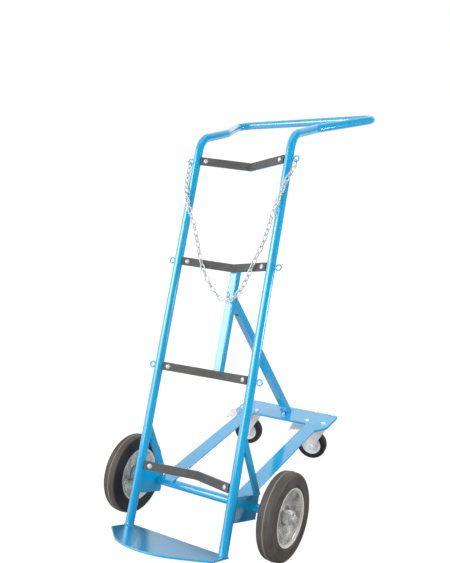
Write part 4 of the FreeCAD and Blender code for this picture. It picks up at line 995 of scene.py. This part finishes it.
def add_copy(mesh, template, matrix):
    """A template mesh added to a bmesh, moved by a matrix."""
    before = len(mesh.verts)
    mesh.from_mesh(template)
    mesh.verts.ensure_lookup_table()
    bmesh.ops.transform(mesh, matrix=matrix, verts=mesh.verts[before:])


pin_template = template_of("split_pin", pin)
pins = bmesh.new()
for sign in SIDE_SIGN.values():
    add_copy(pins, pin_template, Matrix.Translation((sign * PIN_X, AXLE.y, AXLE.z)))
stand_in("axle_split_pins", pins, "axle_pins", hub_zinc)
print("pins at", short((-PIN_X, PIN_X)))

# %% [markdown]
# ## Strip screws
#
# Each rubber strip is held by two broad, low domes with a small sunk middle, bright against the
# black. They are turned shapes too. The bands are bent to a shallow vee, so each dome faces a
# little towards the middle of the cart: its place and direction follow from the vee.

# %% Turn and place the domes
VEE = math.radians(23.3)
VEE_FRONT = 60.5
HALF_SPACING = 166.35
SCREW_X = HALF_SPACING - 32.4
SCREW_N = VEE_FRONT - SCREW_X * math.tan(VEE)
BAND_LEVELS = (1143.5, 812.2, 479.6, 178.4)
DOME_STEPS = 28
DOME_SECTION = [
    (2.3, 0.0), (2.3, 1.7), (3.9, 2.3), (3.7, 3.8), (2.7, 6.0), (1.2, 7.3),
    (0.0, 7.5), (0.0, 3.0), (-15.0, 3.0), (-15.5, 2.5), (-15.5, 0.0),
]
dome_template = template_of("screw_dome", turned(DOME_SECTION, DOME_STEPS, soften=0.3))
screws = bmesh.new()
for level in BAND_LEVELS:
    for sign in SIDE_SIGN.values():
        forwards = lean_vector(-sign * math.sin(VEE), -math.cos(VEE), 0)
        place = lean_point(sign * SCREW_X, SCREW_N, level)
        add_copy(screws, dome_template, facing(place, forwards))
stand_in("strip_screw_domes", screws, "strip_screws")
print("domes", 2 * len(BAND_LEVELS))

# %% [markdown]
# ## Chain
#
# The chain is short-link welded chain. In the CAD model each link is already in its place, so only
# its shape has to be better: round wire with enough sides to shine, and the small swelling where
# the wire was butt-welded. One link is made from a circle of wire that is bent round one bow, drawn
# along the side, bent round the other bow and joined up.

# %% One link
LINK_WIRE = 2.0
LINK_BOW = 6.0
LINK_HALF = 11.2 / 2
WELD_SWELL = 1.22
LINK_SIDE = ((4.2, 1.0), (0.8, WELD_SWELL), (1.2, 1.0), (0.8, 1 / WELD_SWELL), (4.2, 1.0))

link = bmesh.new()
first = wire_circle(link, LINK_WIRE, 10, (LINK_HALF, LINK_BOW, 0))
end = bend(link, first, (LINK_HALF, 0, 0), Z_AXIS, -math.pi, steps=10)
for length, swell in LINK_SIDE:
    end = draw_on(link, end, (-length, 0, 0), swell)
end = bend(link, end, (-LINK_HALF, 0, 0), Z_AXIS, -math.pi, steps=10)
bmesh.ops.bridge_loops(link, edges=end + first)
bmesh.ops.recalc_face_normals(link, faces=link.faces)
print("link", len(link.faces), "faces")
link_template = template_of("chain_link", link)

# %% [markdown]
# Each CAD link tells where a copy goes: its middle, and the directions in which it is longest and
# widest.

# %% A copy for each CAD link
solid_links = bmesh.new()
solid_links.from_mesh(nodes["chain_links"].data)
bmesh.ops.remove_doubles(solid_links, verts=solid_links.verts, dist=MERGE_DISTANCE)


def islands(mesh):
    """The separate shells of a mesh, each a set of vertices."""
    left = set(mesh.verts)
    while left:
        shell, front = set(), [left.pop()]
        while front:
            vert = front.pop()
            shell.add(vert)
            for edge in vert.link_edges:
                other = edge.other_vert(vert)
                if other in left:
                    left.discard(other)
                    front.append(other)
        yield shell


def link_matrix(shell):
    """The transform of a link: X along its length, Y across its width, at its middle."""
    points = np.array([vert.co[:] for vert in shell])
    rough = points - points.mean(axis=0)
    axes = np.linalg.eigh(rough.T @ rough)[1]
    long_axis, wide_axis = axes[:, 2], axes[:, 1]
    own = points @ axes
    middle = axes @ ((own.max(axis=0) + own.min(axis=0)) / 2)
    flat_axis = np.cross(long_axis, wide_axis)
    columns = Matrix([axis.tolist() for axis in (long_axis, wide_axis, flat_axis)]).transposed()
    return Matrix.Translation(Vector(middle.tolist())) @ columns.to_4x4()


shells = sorted(islands(solid_links), key=lambda shell: min(tuple(vert.co) for vert in shell))
chain = bmesh.new()
for shell in shells:
    add_copy(chain, link_template, link_matrix(shell))
solid_links.free()
stand_in("chain_round_links", chain, "chain_links", chain_zinc, sharp_angle=60)
print("links", len(shells))

# %% [markdown]
# ## Chain eyes
#
# The chain hooks into small rings of wire welded outboard of the uprights. A ring is a circle of
# wire spun once. The lump of weld that joins it to the tube comes with the other welds.

# %% Spin the eyes
TUBE_RADIUS = 13.45
EYE_RING, EYE_WIRE = 8.65, 2.35
EYE_GAP = 0.05
EYE_X = HALF_SPACING + TUBE_RADIUS + EYE_RING + EYE_WIRE + EYE_GAP
EYE_LEVELS = BAND_LEVELS[:3]
LEAN_TURN = Matrix.Rotation(-LEAN, 4, "X")

eye = bmesh.new()
wire_circle(eye, EYE_WIRE, 14, (0, 0, EYE_RING))
full_turn(eye, Y_AXIS, steps=36)
eye_template = template_of("chain_eye", eye)
for side, sign in SIDE_SIGN.items():
    eyes = bmesh.new()
    for level in EYE_LEVELS:
        place = lean_point(sign * EYE_X, 0, level)
        add_copy(eyes, eye_template, Matrix.Translation(place) @ LEAN_TURN)
    stand_in(f"chain_eyes_{side}_wire", eyes, f"chain_eyes_{side}")
print("eyes", 2 * len(EYE_LEVELS))

# %% [markdown]
# ## Castor wheels
#
# The castors run on small rubber tyres with a slightly crowned tread. The rim is a bright disc with
# a rolled edge, a sunk middle with five rivets and a hub that fills the fork. Both are turned, and
# then set on the castor's own axle: its place and direction are read from the joint's record.

# %% Turn the castor wheels
CASTOR_TYRE_STEPS, CASTOR_RIM_STEPS, RIVET_STEPS = 80, 72, 14
CASTOR_TYRE_HALF = [
    (9.0, 52.3), (13.6, 51.0), (16.2, 48.4), (17.0, 45.2), (16.4, 42.6),
    (16.4, 40.4), (16.9, 39.0), (16.4, 36.8), (15.2, 35.6), (15.0, 34.05),
]
CASTOR_HUB_HALF = [
    (19.6, 5.1), (19.6, 10.0), (18.4, 11.6), (11.0, 12.4), (8.8, 13.6), (8.0, 15.4),
]
CASTOR_RIM_HALF = [
    (8.0, 22.0), (8.0, 25.0), (9.6, 27.0), (13.0, 29.6),
    (14.2, 31.0), (15.6, 32.0), (15.4, 33.4), (14.4, 33.95),
]
RIVET_SECTION = [(1.9, 0.0), (1.6, 1.6), (0.8, 2.6), (-0.6, 2.9), (-0.6, 0.0)]
RIVETS, RIVET_FACE, RIVET_CIRCLE = 5, 8.0, 20.2
RIVET_TURNS = [2 * math.pi * (number + 0.3) / RIVETS for number in range(RIVETS)]

joint_of = {joint["name"]: joint for joint in record["behaviour"]["joints"]}
rivet_template = template_of("castor_rivet", turned(RIVET_SECTION, RIVET_STEPS, soften=0.2))
for side in SIDE_SIGN:
    axle_joint = joint_of[f"castor_{side}_roll"]
    on_axle = facing(axle_joint["pos_m"], axle_joint["axis"])
    tyre = turned(both_sides(CASTOR_TYRE_HALF), CASTOR_TYRE_STEPS, soften=0.5)
    move(tyre, on_axle)
    node = f"castor_{side}_tyre"
    stand_in(f"{node}_moulded", tyre, node, castor_rubber, sharp_angle=50)
    rim = turned(both_sides(CASTOR_HUB_HALF + CASTOR_RIM_HALF), CASTOR_RIM_STEPS, soften=0.5)
    for outward in (-1, 1):
        for turn in RIVET_TURNS:
            y, z = RIVET_CIRCLE * math.cos(turn), RIVET_CIRCLE * math.sin(turn)
            spot = Vector((outward * RIVET_FACE, y, z)) * MM
            add_copy(rim, rivet_template, facing(spot, (outward, 0, 0)))
    move(rim, on_axle)
    node = f"castor_{side}_rim"
    stand_in(f"{node}_riveted", rim, node, castor_zinc_painted_lit, sharp_angle=50)
    print("castor axle", side, short(axle_joint["pos_m"]))

# %% [markdown]
# ## Welds
#
# The frame is welded and then painted, so every joint carries a bead of paint-covered ripples. A
# bead is a row of small flattened balls that overlap, each a little different in size, as the
# welder's hand left them. All the beads together are one piece in the frame's blue.
#
# The first beads run round the uprights on the foot plate.

# %% Beads of weld, first on the foot plate
RIPPLE_STEP, RIPPLE_FLATNESS = 1.3, 0.85
WOBBLES = ((0.09, 2.4), (0.05, 5.1))
FOOT_RING, FOOT_RISE = 13.9, 0.3
welds = bmesh.new()
ripple_numbers = count()


def bead(points, radius):
    """A row of overlapping ripples through points in metres, with a radius in millimetres."""
    row = bmesh.new()
    for start, end in pairwise(points):
        run = end - start
        turn = run.to_track_quat("X", "Z").to_matrix().to_4x4()
        steps = max(1, round(run.length / (RIPPLE_STEP * radius * MM)))
        for step in range(steps):
            number = next(ripple_numbers)
            wobble = 1 + sum(size * math.sin(pace * number) for size, pace in WOBBLES)
            place = Matrix.Translation(start + run * (step + 0.5) / steps)
            shape = Matrix.Diagonal((RIPPLE_FLATNESS, wobble, wobble, 1))
            bmesh.ops.create_uvsphere(
                row, u_segments=8, v_segments=5, radius=radius * MM, matrix=place @ turn @ shape
            )
    row_data = template_of("bead_row", row)
    welds.from_mesh(row_data)
    bpy.data.meshes.remove(row_data)


def lean_bead(rows, radius):
    """A bead through points of the leaning frame, on both sides of the cart."""
    for sign in SIDE_SIGN.values():
        bead([lean_point(sign * x, n, t) for x, n, t in rows], radius)


def circle(radius, corners):
    """The points of a closed circle."""
    turns = [2 * math.pi * number / corners for number in range(corners + 1)]
    return [(radius * math.cos(turn), radius * math.sin(turn)) for turn in turns]


lean_bead([(HALF_SPACING + x, n, FOOT_RISE) for x, n in circle(FOOT_RING, 28)], 2.0)
print("weld faces", len(welds.faces))

# %% [markdown]
# Then come the other joints of the leaning frame: the bands against the uprights, the post behind
# the middle bands, the strut on the post, and the eyes.

# %% Beads of the leaning frame
BAND_HALF, BAND_EDGE = 12.0, 12.6
BAND_BACK = (153.3, 5.4)
BAND_CORNER = ((153.4, 4.6), (153.0, 0.4))
POST_SIDE, POST_HALF = (12.6, 68.4), 11.0
STRUT_EDGES, STRUT_HALF = (698.6, 729.4), 11.5
STRUT_SIDE, STRUT_ENDS = (12.7, 95.9), (700, 728)
EYE_WELD_X, EYE_WELD_N, EYE_WELD_HALF = 180.1, 1.6, 4.5


def rising_bead(x, n, low, high, radius):
    """A bead that runs up along the leaning frame, on both sides of the cart."""
    lean_bead([(x, n, low), (x, n, high)], radius)


for level in BAND_LEVELS:
    rising_bead(*BAND_BACK, level - BAND_HALF, level + BAND_HALF, 1.9)
    for edge in (level - BAND_EDGE, level + BAND_EDGE):
        lean_bead([(x, n, edge) for x, n in BAND_CORNER], 1.5)
for level in BAND_LEVELS[1:3]:
    rising_bead(*POST_SIDE, level - POST_HALF, level + POST_HALF, 2.6)
for edge in STRUT_EDGES:
    bead([lean_point(x, STRUT_SIDE[1], edge) for x in (-STRUT_HALF, STRUT_HALF)], 1.8)
rising_bead(*STRUT_SIDE, *STRUT_ENDS, 1.7)
for sign in SIDE_SIGN.values():
    for level in EYE_LEVELS:
        for n in (-EYE_WELD_N, EYE_WELD_N):
            ends = (level - EYE_WELD_HALF, level + EYE_WELD_HALF)
            bead([lean_point(sign * EYE_WELD_X, n, t) for t in ends], 1.7)
print("weld faces", len(welds.faces))

# %% [markdown]
# Last come the joints round the axle: the side plates on the uprights, the axle tube through the
# side plates, the braces on the side plates and the uprights, and the rear bars on the axle tube
# and on the castor plate.

# %% Beads round the axle
PLATE_INNER, PLATE_OUTER = HALF_SPACING + 6.0, HALF_SPACING + 11.0
PLATE_ENDS = (91, 160)
AXLE_TUBE_RING = 13.0
BRACE_FOOT_X = (HALF_SPACING + 4.4, HALF_SPACING + 12.6)
BRACE_FOOT_N, BRACE_FOOT_T = (110.5, 138.0), 162.0
BRACE_TOP_INNER = (HALF_SPACING + 4.0, 13.0, 281, 315)
BRACE_TOP_OUTER = (HALF_SPACING + 12.8, 6.0, 286, 318)
BAR_SIDES = (107.5, 154.5)
BAR_ON_AXLE_Y, BAR_ON_AXLE_Z = 7.5, 11.2
BAR_END_Y, BAR_END_Z = AXLE.y + 492.4 * MM, 148.9 * MM

rising_bead(PLATE_INNER - 0.4, 12.9, *PLATE_ENDS, 1.8)
rising_bead(PLATE_OUTER + 0.6, 8.3, *PLATE_ENDS, 1.8)
for face in (PLATE_INNER - 0.5, PLATE_OUTER + 0.5):
    for sign in SIDE_SIGN.values():
        ring = circle(AXLE_TUBE_RING, 26)
        bead([AXLE + Vector((sign * face, y, z)) * MM for y, z in ring], 1.8)
for x in BRACE_FOOT_X:
    lean_bead([(x, n, BRACE_FOOT_T) for n in BRACE_FOOT_N], 1.7)
rising_bead(*BRACE_TOP_INNER, 1.6)
rising_bead(*BRACE_TOP_OUTER, 1.6)
for sign in SIDE_SIGN.values():
    for y in (-BAR_ON_AXLE_Y, BAR_ON_AXLE_Y):
        bead([AXLE + Vector((sign * x, y, BAR_ON_AXLE_Z)) * MM for x in BAR_SIDES], 2.0)
    bead([Vector((sign * x * MM, BAR_END_Y, BAR_END_Z)) for x in BAR_SIDES], 2.0)
print("ripples", next(ripple_numbers), "with", len(welds.faces), "faces")
new_piece("frame_weld_beads", welds, blue_paint, "frame", "blue_paint", sharp_angle=80)

# %% [markdown]
#
# The model's box before and after the looks is printed, to show the cart's size. The looks may
# not change the cart's size.
# Every node has its stand-in by now, so the list of nodes that are shown as they came is empty.

# %% Print the boxes and close
print("nodes shown as they came", [name for name in nodes if not nodes[name].hide_render])
shown_box = [list(corner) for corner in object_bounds()]
print("shown box", [short(corner) for corner in shown_box])
